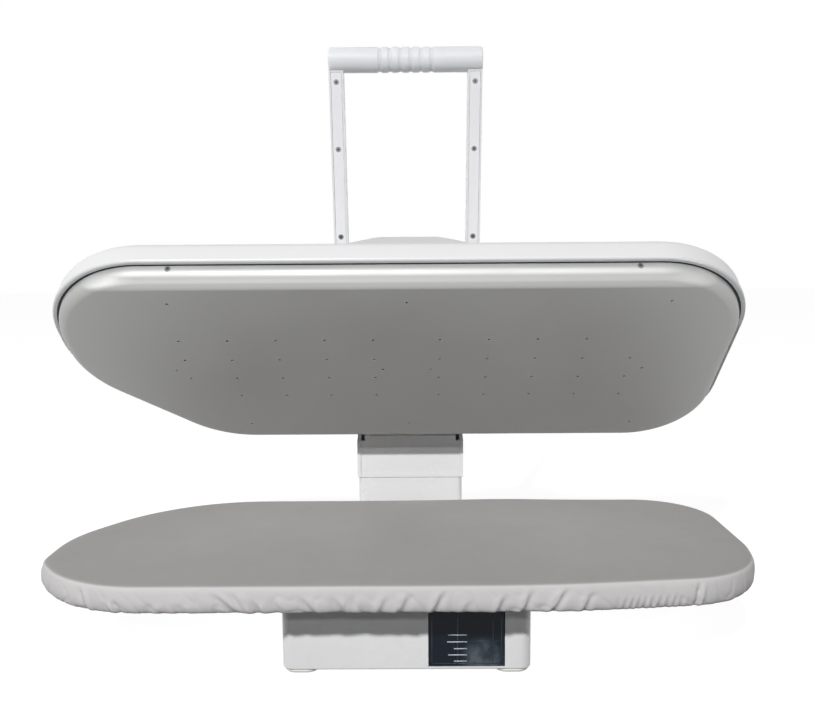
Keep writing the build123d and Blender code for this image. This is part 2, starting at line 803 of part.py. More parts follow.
# Neck cover: the upper white piece, two cheeks round the hinge and panels between them
cheek_inner = cheek_width / 2 - cheek_thickness
seam_gap = 0.4
cover_base = neck_seam + seam_gap
slope_foot_y = hinge_y - cheek_boss
panel_face = neck_front + panel_setback
ledge_front = neck_front + 10
ledge_thickness = 2
cheek_drop = 3              # the cheeks' slope meets the barrel this much below the hinge
ledge_back = column_back + slide_gap
deck_back = column_front - slide_gap
deck_half = arm_cover_half - arm_cover_wall - slide_gap
with BuildPart() as neck_cover:
    with BuildSketch(Plane.YZ.offset(stand_x - cheek_width / 2)):
        with BuildLine():
            Polyline(
                (neck_front, cover_base),
                (neck_front, front_panel_top),
                (slope_foot_y, hinge_z - cheek_drop),
                (hinge_y, hinge_z),
                (hinge_y + cheek_boss, hinge_z),
                (stand_back, back_panel_top),
                (stand_back, cover_base),
                close=True,
            )
        make_face()
        with Locations((hinge_y, hinge_z)):
            Circle(cheek_boss)
    extrude(amount=cheek_width)
    with BuildSketch(Plane.YZ.offset(stand_x - cheek_inner)):
        with Locations((0, hinge_z)):
            Rectangle(2 * footprint_depth, 2 * hinge_z)
    extrude(amount=2 * cheek_inner, mode=Mode.SUBTRACT)
    with BuildSketch(Plane.YZ.offset(stand_x - cheek_inner)):
        with BuildLine():
            Polyline(
                (panel_face - panel_swell, cover_base),
                (panel_face - panel_swell, cover_base + swell_height),
                (panel_face, cover_base + swell_height + 4 * panel_swell),
                (panel_face, front_panel_top),
                (panel_face + neck_wall, front_panel_top),
                (panel_face + neck_wall, cover_base),
                close=True,
            )
        make_face()
        with BuildLine():
            Polyline(
                (stand_back - panel_setback, cover_base),
                (stand_back - panel_setback, back_panel_top),
                (stand_back - panel_setback - neck_wall, back_panel_top),
                (stand_back - panel_setback - neck_wall, cover_base),
                close=True,
            )
        make_face()
    extrude(amount=2 * cheek_inner)
    with BuildSketch(Plane.XY.offset(cover_base)):
        with Locations((stand_x, (neck_front + stand_back) / 2)):
            Rectangle(2 * cheek_inner, stand_back - neck_front - 2 * (panel_setback + neck_wall))
        with Locations((stand_x, (ledge_front + ledge_back) / 2)):
            Rectangle(column_outer + 2 * seat_gap, ledge_back - ledge_front, mode=Mode.SUBTRACT)
    extrude(amount=ledge_thickness)
    with BuildSketch(Plane.YZ.offset(stand_x - deck_half)):
        with BuildLine():
            Polyline(
                (panel_face, cover_base),
                (panel_face, deck_top),
                (deck_back, deck_top),
                (deck_back, deck_top - deck_thickness),
                (panel_face + neck_wall, deck_top - deck_thickness),
                (panel_face + neck_wall, cover_base),
                close=True,
            )
        make_face()
    extrude(amount=2 * deck_half)

# Power gland: ring in the back wall where the lead comes in
gland_nut = 3
with BuildPart() as power_gland:
    with BuildSketch(Plane.XZ.offset(-stand_back)):
        with Locations((gland_x, gland_z)):
            Circle(gland_radius)
            Circle(gland_bore, mode=Mode.SUBTRACT)
    extrude(amount=base_wall)
    with BuildSketch(Plane.XZ.offset(-(stand_back - base_wall))):
        with Locations((gland_x, gland_z)):
            Circle(gland_radius + gland_nut)
            Circle(gland_bore, mode=Mode.SUBTRACT)
    extrude(amount=gland_nut)

# Board posts: carry the pan on the base
post_radius = 9
post_span_x = 150
post_span_y = 120
post_setback = 20
post_y = base_front + post_setback + post_span_y / 2
with BuildPart() as board_posts:
    with BuildSketch(Plane.XY.offset(base_top)):
        with Locations((base_x, post_y)):
            with GridLocations(post_span_x, post_span_y, 2, 2):
                Circle(post_radius)
    extrude(amount=foam_bottom - pan_thickness - base_top)

# Board pan: steel tray, rim down, under the foam
pan_inset = cover_wall + 2 * seat_gap
with BuildPart() as board_pan:
    with BuildSketch(Plane.XY.offset(foam_bottom - pan_rim)):
        add(board_outline(pan_inset))
    extrude(amount=pan_rim)
    with BuildSketch(Plane.XY.offset(foam_bottom - pan_rim)):
        add(board_outline(pan_inset + pan_thickness))
    extrude(amount=pan_rim - pan_thickness, mode=Mode.SUBTRACT)

# Board foam: the pad under the cloth
with BuildPart() as board_foam:
    with BuildSketch(Plane.XY.offset(foam_bottom)):
        add(board_outline(cover_wall + seat_gap))
    extrude(amount=foam_thickness)

# Board cover: cloth with a low crown and sides drawn in below, open over the pan
cover_sections = (          # height above the table and how far the cloth is drawn in
    (cover_bottom, 3.4),
    (cover_bottom + 3, 1.5),
    (cover_bottom + 9, 0),
    (cover_bottom + 16, 0.5),
    (board_top - crown_height - 1.6, 1.6),
    (board_top - crown_height, 4.4),
    (board_top, crown_inset),
)
lip_top = cover_bottom + cover_lip_thickness
with BuildPart() as board_cover:
    for height, inset in cover_sections:
        with BuildSketch(Plane.XY.offset(height)):
            add(board_outline(inset))
    loft(ruled=True)
    with BuildSketch(Plane.XY.offset(lip_top)):
        add(board_outline(cover_wall))
    extrude(amount=pocket_top - lip_top, mode=Mode.SUBTRACT)
    with BuildSketch(Plane.XY.offset(cover_bottom)):
        add(board_outline(cover_lip_width))
    extrude(amount=cover_lip_thickness, mode=Mode.SUBTRACT)

# Heating plate: aluminium tray with a rounded edge and the steam holes
recess_width = 0.7          # cross recess of the small screws
recess_depth = 0.5
extra_holes = (
    (-180.5, 31.5), (6.5, 31.5), (212.5, 31.5),
    (-191.5, 120), (-14.5, 120), (26.5, 120), (206.5, 120),
    (-139.5, 205), (6.5, 205), (211.5, 205),
)
plate_screw_places = (-174.4, 183.4)
plate_screw_t = 8.5
plate_screw_radius = 1.5
plate_screw_head = 2.3
plate_screw_height = 1
plate_screw_seat = 0.6
with BuildPart() as heating_plate:
    with BuildSketch(head_level(0)):
        add(plate_outline(0))
    extrude(amount=plate_height)
    fillet(heating_plate.faces().sort_by(head_up)[0].edges(), plate_edge_round)
    with BuildSketch(head_level(plate_sole)):
        add(plate_outline(-plate_rim))
    extrude(amount=plate_height - plate_sole, mode=Mode.SUBTRACT)
    with BuildSketch(head_level(0)):
        for row in range(hole_rows):
            row_v = first_row + row * hole_row_pitch
            left_count = hole_columns - 1 if row == hole_rows - 1 else hole_columns
            right_count = hole_columns - 1 if row == 0 else hole_columns
            with Locations(*[(left_columns_end - hole_pitch * i, row_v) for i in range(left_count)]):
                Circle(hole_radius)
            with Locations(*[(right_columns_start + hole_pitch * i, row_v) for i in range(right_count)]):
                Circle(hole_radius)
        with Locations(*extra_holes):
            Circle(hole_radius)
    extrude(amount=plate_sole, mode=Mode.SUBTRACT)
    with BuildSketch(head_front(0)):
        with Locations(*[(x, plate_screw_t) for x in plate_screw_places]):
            Circle(plate_screw_radius)
    extrude(amount=-plate_rim, mode=Mode.SUBTRACT)
    with BuildSketch(head_front(0)):
        with Locations(*[(x, plate_screw_t) for x in plate_screw_places]):
            Circle(plate_screw_head)
    extrude(amount=-plate_screw_seat, mode=Mode.SUBTRACT)

# Plate screws: sunk in the front edge, just under the head cover's rim
plate_screw_front = plate_screw_height - plate_screw_seat
with BuildPart() as plate_screws:
    with BuildSketch(head_front(0)):
        with Locations(*[(x, plate_screw_t) for x in plate_screw_places]):
            Circle(plate_screw_radius)
    extrude(amount=-plate_rim)
    with BuildSketch(head_front(-plate_screw_front)):
        with Locations(*[(x, plate_screw_t) for x in plate_screw_places]):
            Circle(plate_screw_head)
    extrude(amount=-plate_screw_height)
    with BuildSketch(head_front(-plate_screw_front)):
        with Locations(*[(x, plate_screw_t) for x in plate_screw_places]):
            Rectangle(plate_screw_head, recess_width)
            Rectangle(recess_width, plate_screw_head)
    extrude(amount=-recess_depth, mode=Mode.SUBTRACT)

# Heating element: one long loop of tube lying on the sole
element_t = plate_sole + element_radius
element_bend = 32
element_tail_x = 30
element_left = plate_left + element_inset + element_tail_x
element_right = plate_right - element_inset
element_front = element_inset
element_back = plate_depth - element_inset
element_end = stand_x + 40
element_gap = 30
element_points = [
    head_point(x, v, element_t)
    for x, v in (
        (element_end, element_back),
        (element_right, element_back),
        (element_right, element_front),
        (element_left, element_front),
        (element_left, element_back),
        (element_end - element_gap, element_back),
    )
]
with BuildPart() as heating_element:
    with BuildLine() as element_route:
        FilletPolyline(*element_points, radius=element_bend)
    with BuildSketch(Plane(origin=element_route.line @ 0, z_dir=element_route.line % 0)):
        Circle(element_radius)
    sweep()

# Steam chamber cover: closes the plate from above
inlet_v = 205
inlet_hole = 7
thermostat_v = 110
fuse_v = 150
sensor_x = stand_x + 64
thermostat_radius = 8
thermostat_flange = 6
thermostat_top = 5
fuse_radius = 3
fuse_length = 24
sensor_gap = 0.5
inlet_height = 4
chamber_lap = 2             # the cover laps this far on the plate's rim
mat_inset = 3               # the mat lies this far inside the plate's rim
chamber_top = plate_height + chamber_thickness
with BuildPart() as chamber_cover:
    with BuildSketch(head_level(plate_height)):
        add(plate_outline(-plate_rim + chamber_lap))
        with Locations((stand_x, inlet_v)):
            Circle(hose_bore, mode=Mode.SUBTRACT)
    extrude(amount=chamber_thickness)
    with BuildSketch(head_level(chamber_top)):
        with Locations((stand_x, inlet_v)):
            Circle(hose_radius)
            Circle(hose_bore, mode=Mode.SUBTRACT)
    extrude(amount=inlet_height)

# Edge gasket: dark ring in the gap between plate and head cover
with BuildPart() as edge_gasket:
    with BuildSketch(head_level(plate_height)):
        add(plate_outline(cover_gap - seat_gap))
        add(plate_outline(-plate_rim + chamber_lap + seat_gap), mode=Mode.SUBTRACT)
    extrude(amount=chamber_thickness)

# Thermostat: round switch on the chamber cover
with BuildPart() as thermostat:
    with BuildSketch(head_level(chamber_top)):
        with Locations((sensor_x, thermostat_v)):
            Circle(thermostat_radius)
    extrude(amount=thermostat_flange)
    with BuildSketch(head_level(chamber_top + thermostat_flange)):
        with Locations((sensor_x, thermostat_v)):
            Circle(0.6 * thermostat_radius)
    extrude(amount=thermostat_top)

# Thermal fuse: small cylinder in a clip on the chamber cover
with BuildPart() as thermal_fuse:
    with BuildSketch(head_section(sensor_x - fuse_length / 2)):
        with Locations((fuse_v, chamber_top + fuse_radius)):
            Circle(fuse_radius)
    extrude(amount=fuse_length)

# Insulation mat over the chamber, cut out round the inlet and the sensors
with BuildPart() as insulation_mat:
    with BuildSketch(head_level(chamber_top)):
        add(plate_outline(-plate_rim - mat_inset))
        with Locations((stand_x, inlet_v)):
            Circle(inlet_hole, mode=Mode.SUBTRACT)
        with Locations((sensor_x, thermostat_v)):
            Circle(thermostat_radius + sensor_gap, mode=Mode.SUBTRACT)
        with Locations((sensor_x, fuse_v)):
            Rectangle(fuse_length + 2 * sensor_gap, 2 * fuse_radius + 2 * sensor_gap, mode=Mode.SUBTRACT)
    extrude(amount=insulation_thickness)

# Heat shield: thin sheet on the insulation
with BuildPart() as heat_shield:
    with BuildSketch(head_level(chamber_top + insulation_thickness)):
        add(plate_outline(-plate_rim - mat_inset))
        with Locations((stand_x, inlet_v)):
            Circle(inlet_hole, mode=Mode.SUBTRACT)
        with Locations((sensor_x, thermostat_v)):
            Circle(thermostat_radius + sensor_gap, mode=Mode.SUBTRACT)
        with Locations((sensor_x, fuse_v)):
            Rectangle(fuse_length + 2 * sensor_gap, 2 * fuse_radius + 2 * sensor_gap, mode=Mode.SUBTRACT)
    extrude(amount=shield_thickness)

# Head cover: white shell with a rounded top edge, a rim below and posts down to the shield
harness_v = 128
harness_hole = 8.5
arm_bolt_x = 16
arm_bolt_front = 170
arm_bolt_back = 212
arm_bolt_radius = 2.5
arm_bolt_spots = [
    (stand_x + side * arm_bolt_x, v) for side in (-1, 1) for v in (arm_bolt_front, arm_bolt_back)
]
post_inset = 60             # posts inside the cover, from the plate's edges
cover_post_radius = 5
post_spots = [
    (plate_left + 1.5 * post_inset, post_inset),
    (plate_right - 1.2 * post_inset, post_inset),
    (plate_left + 2.5 * post_inset, plate_depth - 0.7 * post_inset),
    (plate_right - 1.2 * post_inset, plate_depth - 0.8 * post_inset),
]
cover_side = cover_gap + cover_shell
shoulder_rise = 4           # inner step under the rounded edge
shoulder_inset = 5
wide_top = head_cover_top - cover_shell - head_cover_round + shoulder_rise
narrow_top = head_cover_top - cover_shell
with BuildPart() as head_cover:
    with BuildSketch(head_level(head_cover_bottom)):
        add(plate_outline(cover_side))
    extrude(amount=head_cover_top - head_cover_bottom)
    fillet(head_cover.faces().sort_by(head_up)[-1].edges(), head_cover_round)
    with BuildSketch(head_level(head_cover_bottom)):
        add(plate_outline(cover_side + cover_rim_step))
    extrude(amount=cover_rim_height)
    fillet(head_cover.faces().sort_by(head_up)[0].edges(), cover_rim_round)
    with BuildSketch(head_level(head_cover_bottom)):
        add(plate_outline(cover_gap))
    extrude(amount=wide_top - head_cover_bottom, mode=Mode.SUBTRACT)
    with BuildSketch(head_level(head_cover_bottom)):
        add(plate_outline(cover_gap - shoulder_inset))
    extrude(amount=narrow_top - head_cover_bottom, mode=Mode.SUBTRACT)
    with BuildSketch(head_level(shield_top)):
        with Locations(*post_spots):
            Circle(cover_post_radius)
    extrude(amount=narrow_top - shield_top)
    with BuildSketch(head_level(head_cover_top)):
        with Locations((stand_x, inlet_v)):
            Circle(inlet_hole)
        with Locations((stand_x, harness_v)):
            Circle(harness_hole)
        with Locations(*arm_bolt_spots):
            Circle(arm_bolt_radius + 2 * running_gap)
    extrude(amount=-cover_shell, mode=Mode.SUBTRACT)

# Arm frame: two steel plates from the hinge to a foot on the head cover
foot_front = 156
foot_rise = 8
foot_back = arm_cover_foot - arm_cover_wall - slide_gap
back_rise = 13
crest_v = 236               # where the arm's back turns towards the pivot
frame_crest_t = 80
frame_boss = 14
cover_crest_t = 92
crest_round = 30
frame_skirt = 5             # the frame stays this far above the arm cover's underside
with BuildPart() as arm_frame:
    with BuildSketch(head_section(stand_x - arm_half - arm_plate)):
        with BuildLine():
            Polyline(
                (foot_front, head_cover_top),
                (foot_front, head_cover_top + foot_rise),
                (crest_v, frame_crest_t),
                (pivot_v, pivot_t + hub_radius),
                (hinge_v, hinge_t + frame_boss),
                (hinge_v, skirt_t + frame_skirt),
                (skirt_v, skirt_t + frame_skirt),
                (foot_back, head_cover_top + back_rise),
                (foot_back, head_cover_top),
                close=True,
            )
        make_face()
        with Locations((hinge_v, hinge_t)):
            Circle(frame_boss)
        with Locations((hinge_v, hinge_t)):
            Circle(hinge_radius + bush_wall, mode=Mode.SUBTRACT)
        with Locations((pivot_v, pivot_t)):
            Circle(pivot_radius, mode=Mode.SUBTRACT)
    extrude(amount=2 * (arm_half + arm_plate))
    with BuildSketch(head_level(head_cover_top + arm_plate)):
        with Locations((stand_x, hinge_v)):
            Rectangle(2 * arm_half, 2 * hinge_v)
    extrude(amount=hinge_v, mode=Mode.SUBTRACT)
    with BuildSketch(head_level(head_cover_top)):
        with Locations((stand_x, inlet_v)):
            Circle(inlet_hole)
        with Locations(*arm_bolt_spots):
            Circle(arm_bolt_radius + 2 * running_gap)
    extrude(amount=arm_plate, mode=Mode.SUBTRACT)

# Arm bolts: through the foot and the head cover
arm_bolt_head = 4.4
arm_bolt_height = 3
arm_bolt_end = shield_top + 2
with BuildPart() as arm_bolts:
    with BuildSketch(head_level(head_cover_top + arm_plate)):
        with Locations(*arm_bolt_spots):
            RegularPolygon(arm_bolt_head, 6)
    extrude(amount=arm_bolt_height)
    with BuildSketch(head_level(arm_bolt_end)):
        with Locations(*arm_bolt_spots):
            Circle(arm_bolt_radius)
    extrude(amount=head_cover_top + arm_plate - arm_bolt_end)

# Rotary collar: takes the water off the turning joint and into the head
collar_tail = 7
with BuildPart() as rotary_collar:
    with BuildSketch(head_section(stand_x - collar_width / 2)):
        with Locations((hinge_v, hinge_t)):
            Circle(collar_radius)
    extrude(amount=collar_width)
    with BuildSketch(head_front(hinge_v - collar_radius + 2)):
        with Locations((stand_x, hinge_t)):
            Circle(hose_radius)
    extrude(amount=collar_tail + 2)
    with BuildSketch(head_section(stand_x - collar_width / 2)):
        with Locations((hinge_v, hinge_t)):
            Circle(hinge_radius + running_gap)
    extrude(amount=collar_width, mode=Mode.SUBTRACT)
    with BuildSketch(head_front(hinge_v - hinge_radius)):
        with Locations((stand_x, hinge_t)):
            Circle(hose_bore)
    extrude(amount=collar_radius + collar_tail, mode=Mode.SUBTRACT)

# Steam hose: from the collar down through the head cover to the chamber
hose_start_v = hinge_v - collar_radius - collar_tail
steam_points = [
    head_point(stand_x, v, t)
    for v, t in (
        (hose_start_v, hinge_t),
        (hose_start_v - 11, hinge_t),
        (hose_start_v - 36, hinge_t - 4),
        (inlet_v + 20, head_cover_top + 28),
        (inlet_v, head_cover_top + 8),
        (inlet_v, chamber_top + 4),
    )
]
with BuildPart() as steam_hose:
    with BuildLine() as steam_route:
        FilletPolyline(*steam_points, radius=(50, 60, 40, 20))
    with BuildSketch(Plane(origin=steam_route.line @ 0, z_dir=steam_route.line % 0)):
        Circle(hose_radius)
        Circle(hose_bore, mode=Mode.SUBTRACT)
    sweep()

# Arm cover: white shell over the arm, from the head to a round barrel at the hinge
arm_cover_front = console_front + console_length + 2
arm_cover_lip = console_top + 1
lip_round = 8
with BuildSketch() as arm_profile:
    with BuildLine():
        Polyline(
            (arm_cover_front, head_cover_top),
            (arm_cover_front, arm_cover_lip),
            (crest_v, cover_crest_t),
            (pivot_v, hinge_t + barrel_radius + 3),
            (hinge_v, hinge_t + barrel_radius),
            (hinge_v, hinge_t - barrel_radius),
            (skirt_v, skirt_t),
            (arm_cover_foot, head_cover_top + foot_rise),
            (arm_cover_foot, head_cover_top),
            close=True,
        )
    make_face()
    fillet(arm_profile.vertices().sort_by_distance((crest_v, cover_crest_t))[0], crest_round)
    fillet(arm_profile.vertices().sort_by_distance((arm_cover_front, arm_cover_lip))[0], lip_round)
    with Locations((hinge_v, hinge_t)):
        Circle(barrel_radius)
reach_out = 2 * barrel_radius
mouth_edge = 8
mouth_drop = 30
with BuildPart() as arm_cover:
    with BuildSketch(head_section(stand_x - arm_cover_half)):
        add(arm_profile.sketch)
    extrude(amount=2 * arm_cover_half)
    with BuildSketch(head_section(stand_x - arm_cover_half + arm_cover_wall)):
        add(offset(arm_profile.sketch, amount=-arm_cover_wall, mode=Mode.PRIVATE))
        with BuildLine():
            Polyline(
                (arm_cover_front + arm_cover_wall, head_cover_top),
                (arm_cover_front + arm_cover_wall, head_cover_top + mouth_edge),
                (arm_cover_foot - arm_cover_wall, head_cover_top + mouth_edge),
                (arm_cover_foot - arm_cover_wall, head_cover_top),
                close=True,
            )
        make_face()
        with BuildLine():
            Polyline(
                (skirt_v + 1, skirt_t - mouth_drop),
                (skirt_v + 1, skirt_t + mouth_edge),
                (hinge_v, hinge_t),
                (hinge_v + reach_out * cos(tilt), hinge_t + reach_out * sin(tilt)),
                (hinge_v + reach_out, hinge_t - reach_out),
                close=True,
            )
        make_face()
    extrude(amount=2 * (arm_cover_half - arm_cover_wall), mode=Mode.SUBTRACT)
    with BuildSketch(head_section(stand_x - arm_cover_half)):
        with Locations((pivot_v, pivot_t)):
            Circle(pivot_radius)
    extrude(amount=2 * arm_cover_half, mode=Mode.SUBTRACT)

# Console: domed control housing in front of the arm
shoulder_t = head_cover_top + console_shoulder
with BuildSketch() as console_profile:
    with BuildLine():
        Polyline(
            (stand_x - console_half, head_cover_top),
            (stand_x - console_half, shoulder_t),
            (stand_x - console_top_half, console_top),
            (stand_x + console_top_half, console_top),
            (stand_x + console_half, shoulder_t),
            (stand_x + console_half, head_cover_top),
            close=True,
        )
    make_face()
    for side in (-1, 1):
        corner = (stand_x + side * console_top_half, console_top)
        fillet(console_profile.vertices().sort_by_distance(corner)[0], console_round)
power_x = stand_x - 14
steam_x = stand_x + 11
button_v = 40
dial_x = stand_x
dial_v = 84
lens_x = 20
lens_v = 62
lens_spots = [(stand_x - lens_x, lens_v), (stand_x + lens_x, lens_v)]
console_boss = 4
boss_height = 6
boss_x = console_half - console_wall - 0.75 * console_boss
boss_spots = [(stand_x + x, console_front + v) for x in (-boss_x, boss_x) for v in (20, 110)]
with BuildPart() as console:
    with BuildSketch(head_front(console_front)):
        add(console_profile.sketch)
    extrude(amount=-console_length)
    with BuildSketch(head_front(console_front + console_wall)):
        add(offset(console_profile.sketch, amount=-console_wall, mode=Mode.PRIVATE))
        with Locations((stand_x, head_cover_top)):
            Rectangle(2 * (console_half - console_wall), 3 * console_wall)
    extrude(amount=-(console_length - 2 * console_wall), mode=Mode.SUBTRACT)
    with BuildSketch(head_level(console_top)):
        with Locations((power_x, button_v)):
            Circle(power_radius + slide_gap)
        with Locations((steam_x, button_v)):
            Circle(steam_radius + slide_gap)
        with Locations((dial_x, dial_v)):
            Circle(spindle_radius + running_gap)
        with Locations(*lens_spots):
            Circle(lens_radius)
    extrude(amount=-console_wall, mode=Mode.SUBTRACT)
    with BuildSketch(head_level(head_cover_top)):
        with Locations(*boss_spots):
            Circle(console_boss)
    extrude(amount=boss_height)

# Control board: circuit board on the head cover, inside the console
board_v = 64
board_width = 60
board_run = 84
pcb_thickness = 1.6
pcb_leg = 2
leg_radius = 2.5
leg_inset = 4
switch_size = 7
switch_height = 2
sensor_size = 12
sensor_height = 4
pcb_bottom = head_cover_top + pcb_leg
pcb_top = pcb_bottom + pcb_thickness
with BuildPart() as control_board:
    with BuildSketch(head_level(pcb_bottom)):
        with Locations((stand_x, board_v)):
            Rectangle(board_width, board_run)
    extrude(amount=pcb_thickness)
    with BuildSketch(head_level(head_cover_top)):
        with Locations((stand_x, board_v)):
            with GridLocations(board_width - 2 * leg_inset, board_run - 2 * leg_inset, 2, 2):
                Circle(leg_radius)
    extrude(amount=pcb_leg)
    with BuildSketch(head_level(pcb_top)):
        with Locations((power_x, button_v), (steam_x, button_v)):
            Rectangle(switch_size, switch_size)
    extrude(amount=switch_height)
    with BuildSketch(head_level(pcb_top)):
        with Locations((dial_x, dial_v)):
            Rectangle(sensor_size, sensor_size)
            Circle(spindle_radius + running_gap, mode=Mode.SUBTRACT)
    extrude(amount=sensor_height)

# Power button and steam button: caps on short stems, held clear of their switches
button_rise = 2.5
button_round = 1
button_bottom = pcb_top + switch_height + button_travel + slide_gap
button_height = console_top + button_rise - button_bottom
with BuildPart() as power_button:
    with BuildSketch(head_level(button_bottom)):
        with Locations((power_x, button_v)):
            Circle(power_radius)
    extrude(amount=button_height)
    fillet(power_button.faces().sort_by(head_up)[-1].edges(), button_round)
with BuildPart() as steam_button:
    with BuildSketch(head_level(button_bottom)):
        with Locations((steam_x, button_v)):
            Circle(steam_radius)
    extrude(amount=button_height)
    fillet(steam_button.faces().sort_by(head_up)[-1].edges(), button_round)

# Indicator lenses
lens_rise = 0.6
with BuildPart() as indicator_lenses:
    with BuildSketch(head_level(console_top - console_wall)):
        with Locations(*lens_spots):
            Circle(lens_radius)
    extrude(amount=console_wall + lens_rise)

# Temperature dial: knob with finger flutes on a spindle in the board's potentiometer
dial_bottom = console_top + slide_gap
flutes = 12
flute_radius = 2.4
flute_offset = 1.2
pointer_width = 1.6
pointer_length = dial_radius - 3
pointer_depth = 0.8
with BuildPart() as temperature_dial:
    with BuildSketch(head_level(dial_bottom)):
        with Locations((dial_x, dial_v)):
            Circle(dial_radius)
            with PolarLocations(dial_radius + flute_offset, flutes):
                Circle(flute_radius, mode=Mode.SUBTRACT)
    extrude(amount=dial_height)
    with BuildSketch(head_level(pcb_top + slide_gap)):
        with Locations((dial_x, dial_v)):
            Circle(spindle_radius)
    extrude(amount=dial_bottom - pcb_top - slide_gap)
    with BuildSketch(head_level(dial_bottom + dial_height)):
        with Locations((dial_x, dial_v - dial_radius / 2)):
            Rectangle(pointer_width, pointer_length)
    extrude(amount=-pointer_depth, mode=Mode.SUBTRACT)

# Head harness: wires from the control board down to the heating element
harness_radius = 1.8
harness_bend = 8
harness_start = board_v + board_run / 2 + 1
harness_points = [
    head_point(x, v, t)
    for x, v, t in (
        (stand_x, harness_start, pcb_bottom + pcb_thickness / 2),
        (stand_x, harness_v - 10, head_cover_top + 3),
        (stand_x, harness_v, head_cover_top - 1),
        (stand_x, harness_v + 10, shield_top + 3.5),
        (stand_x + 10, harness_v + 30, shield_top + 2.2),
    )
]
with BuildPart() as head_harness:
    with BuildLine() as harness_route:
        FilletPolyline(*harness_points, radius=harness_bend)
    with BuildSketch(Plane(origin=harness_route.line @ 0, z_dir=harness_route.line % 0)):
        Circle(harness_radius)
    sweep()

# Handle shaft: carried by the arm frame, out through the arm cover's sides
shaft_inset = 0.5           # shaft ends inside the arms' outer faces
shaft_reach = handle_width / 2 - shaft_inset
with BuildPart() as handle_shaft:
    with BuildSketch(head_section(handle_x - shaft_reach)):
        with Locations((pivot_v, pivot_t)):
            Circle(pivot_radius)
    extrude(amount=2 * shaft_reach)

# Handle spacers: collars between the arm cover and the handle's hubs
collar_outer = 7
hub_inner = handle_width / 2 - arm_width
left_collar = handle_x - hub_inner + slide_gap
right_collar = handle_x + hub_inner - slide_gap
with BuildPart() as handle_spacers:
    with BuildSketch(head_section(left_collar)):
        with Locations((pivot_v, pivot_t)):
            Circle(collar_outer)
            Circle(pivot_radius, mode=Mode.SUBTRACT)
    extrude(amount=stand_x - arm_cover_half - left_collar)
    with BuildSketch(head_section(stand_x + arm_cover_half)):
        with Locations((pivot_v, pivot_t)):
            Circle(collar_outer)
            Circle(pivot_radius, mode=Mode.SUBTRACT)
    extrude(amount=right_collar - stand_x - arm_cover_half)

# Handle spring: torsion spring inside the arm cover that lifts the handle
handle_spring_radius = 7.5
with BuildPart() as handle_spring:
    with BuildSketch(head_section(stand_x + arm_half + arm_plate)):
        with Locations((pivot_v, pivot_t)):
            Circle(handle_spring_radius)
            Circle(pivot_radius, mode=Mode.SUBTRACT)
    extrude(amount=arm_cover_half - arm_cover_wall - arm_half - arm_plate)

# Handle arms: channels with a hub at the shaft, open on the underside for the strip
boss_low = arm_shell - arm_section / 2
boss_high = arm_section / 2 - strip_recess - strip_thickness
strip_start = hub_radius + 6
strip_end = handle_reach - sqrt(grip_radius**2 - boss_high**2)
tab_height = arm_section - 6
screw_places = [handle_reach - setback for setback in screw_setbacks]
screw_post = 6
screw_depth = 8
arm_centres = (handle_x - (handle_width - arm_width) / 2, handle_x + (handle_width - arm_width) / 2)
screw_spots = [(x, place) for x in arm_centres for place in screw_places]


def handle_arm(centre_x):
    """One arm, from its hub on the shaft to its tab in the grip."""
    left_face = centre_x - arm_width / 2
    with BuildPart() as arm:
        with BuildSketch(handle_section(left_face)):
            with Locations((handle_reach / 2, 0)):
                Rectangle(handle_reach, arm_section)
            Circle(hub_radius)
            with Locations((handle_reach, 0)):
                Circle(grip_radius, mode=Mode.SUBTRACT)
        extrude(amount=arm_width)
        with BuildSketch(handle_section(left_face + arm_shell)):
            with Locations(((strip_start + strip_end) / 2, arm_shell)):
                Rectangle(strip_end - strip_start, arm_section)
        extrude(amount=arm_width - 2 * arm_shell, mode=Mode.SUBTRACT)
        with BuildSketch(handle_section(left_face + arm_shell)):
            with Locations(*[(place, (boss_low + boss_high) / 2) for place in screw_places]):
                Rectangle(screw_post, boss_high - boss_low)
            with Locations((handle_reach - grip_radius, 0)):
                Rectangle(2 * handle_tab, tab_height)
        extrude(amount=arm_width - 2 * arm_shell)
        with BuildSketch(handle_underside(boss_high)):
            with Locations(*[(centre_x, place) for place in screw_places]):
                Circle(screw_radius)
        extrude(amount=-screw_depth, mode=Mode.SUBTRACT)
        with BuildSketch(handle_section(left_face)):
            Circle(pivot_radius + running_gap)
        extrude(amount=arm_width, mode=Mode.SUBTRACT)
    return arm


handle_arm_left = handle_arm(arm_centres[0])
handle_arm_right = handle_arm(arm_centres[1])

# Handle strips: metal strips screwed over the open side of the arms
strip_face = boss_high + strip_thickness
with BuildPart() as handle_strips:
    with BuildSketch(handle_underside(boss_high)):
        with Locations(*[(x, (strip_start + strip_end) / 2) for x in arm_centres]):
            Rectangle(arm_width - 2 * (arm_shell + seat_gap), strip_end - strip_start - 2 * seat_gap)
        with Locations(*screw_spots):
            Circle(screw_radius, mode=Mode.SUBTRACT)
    extrude(amount=strip_thickness)
    with BuildSketch(handle_underside(strip_face)):
        with Locations(*screw_spots):
            Circle(screw_head_radius)
    extrude(amount=-screw_head_height, mode=Mode.SUBTRACT)

# Handle screws: three through each strip
screw_end = screw_depth - 1
with BuildPart() as handle_screws:
    with BuildSketch(handle_underside(strip_face)):
        with Locations(*screw_spots):
            Circle(screw_head_radius)
    extrude(amount=-screw_head_height)
    with BuildSketch(handle_underside(strip_face)):
        with Locations(*screw_spots):
            Circle(screw_radius)
    extrude(amount=-(strip_thickness + screw_end))
    with BuildSketch(handle_underside(strip_face)):
        with Locations(*screw_spots):
            Rectangle(screw_head_radius, recess_width)
            Rectangle(recess_width, screw_head_radius)
    extrude(amount=-recess_depth, mode=Mode.SUBTRACT)

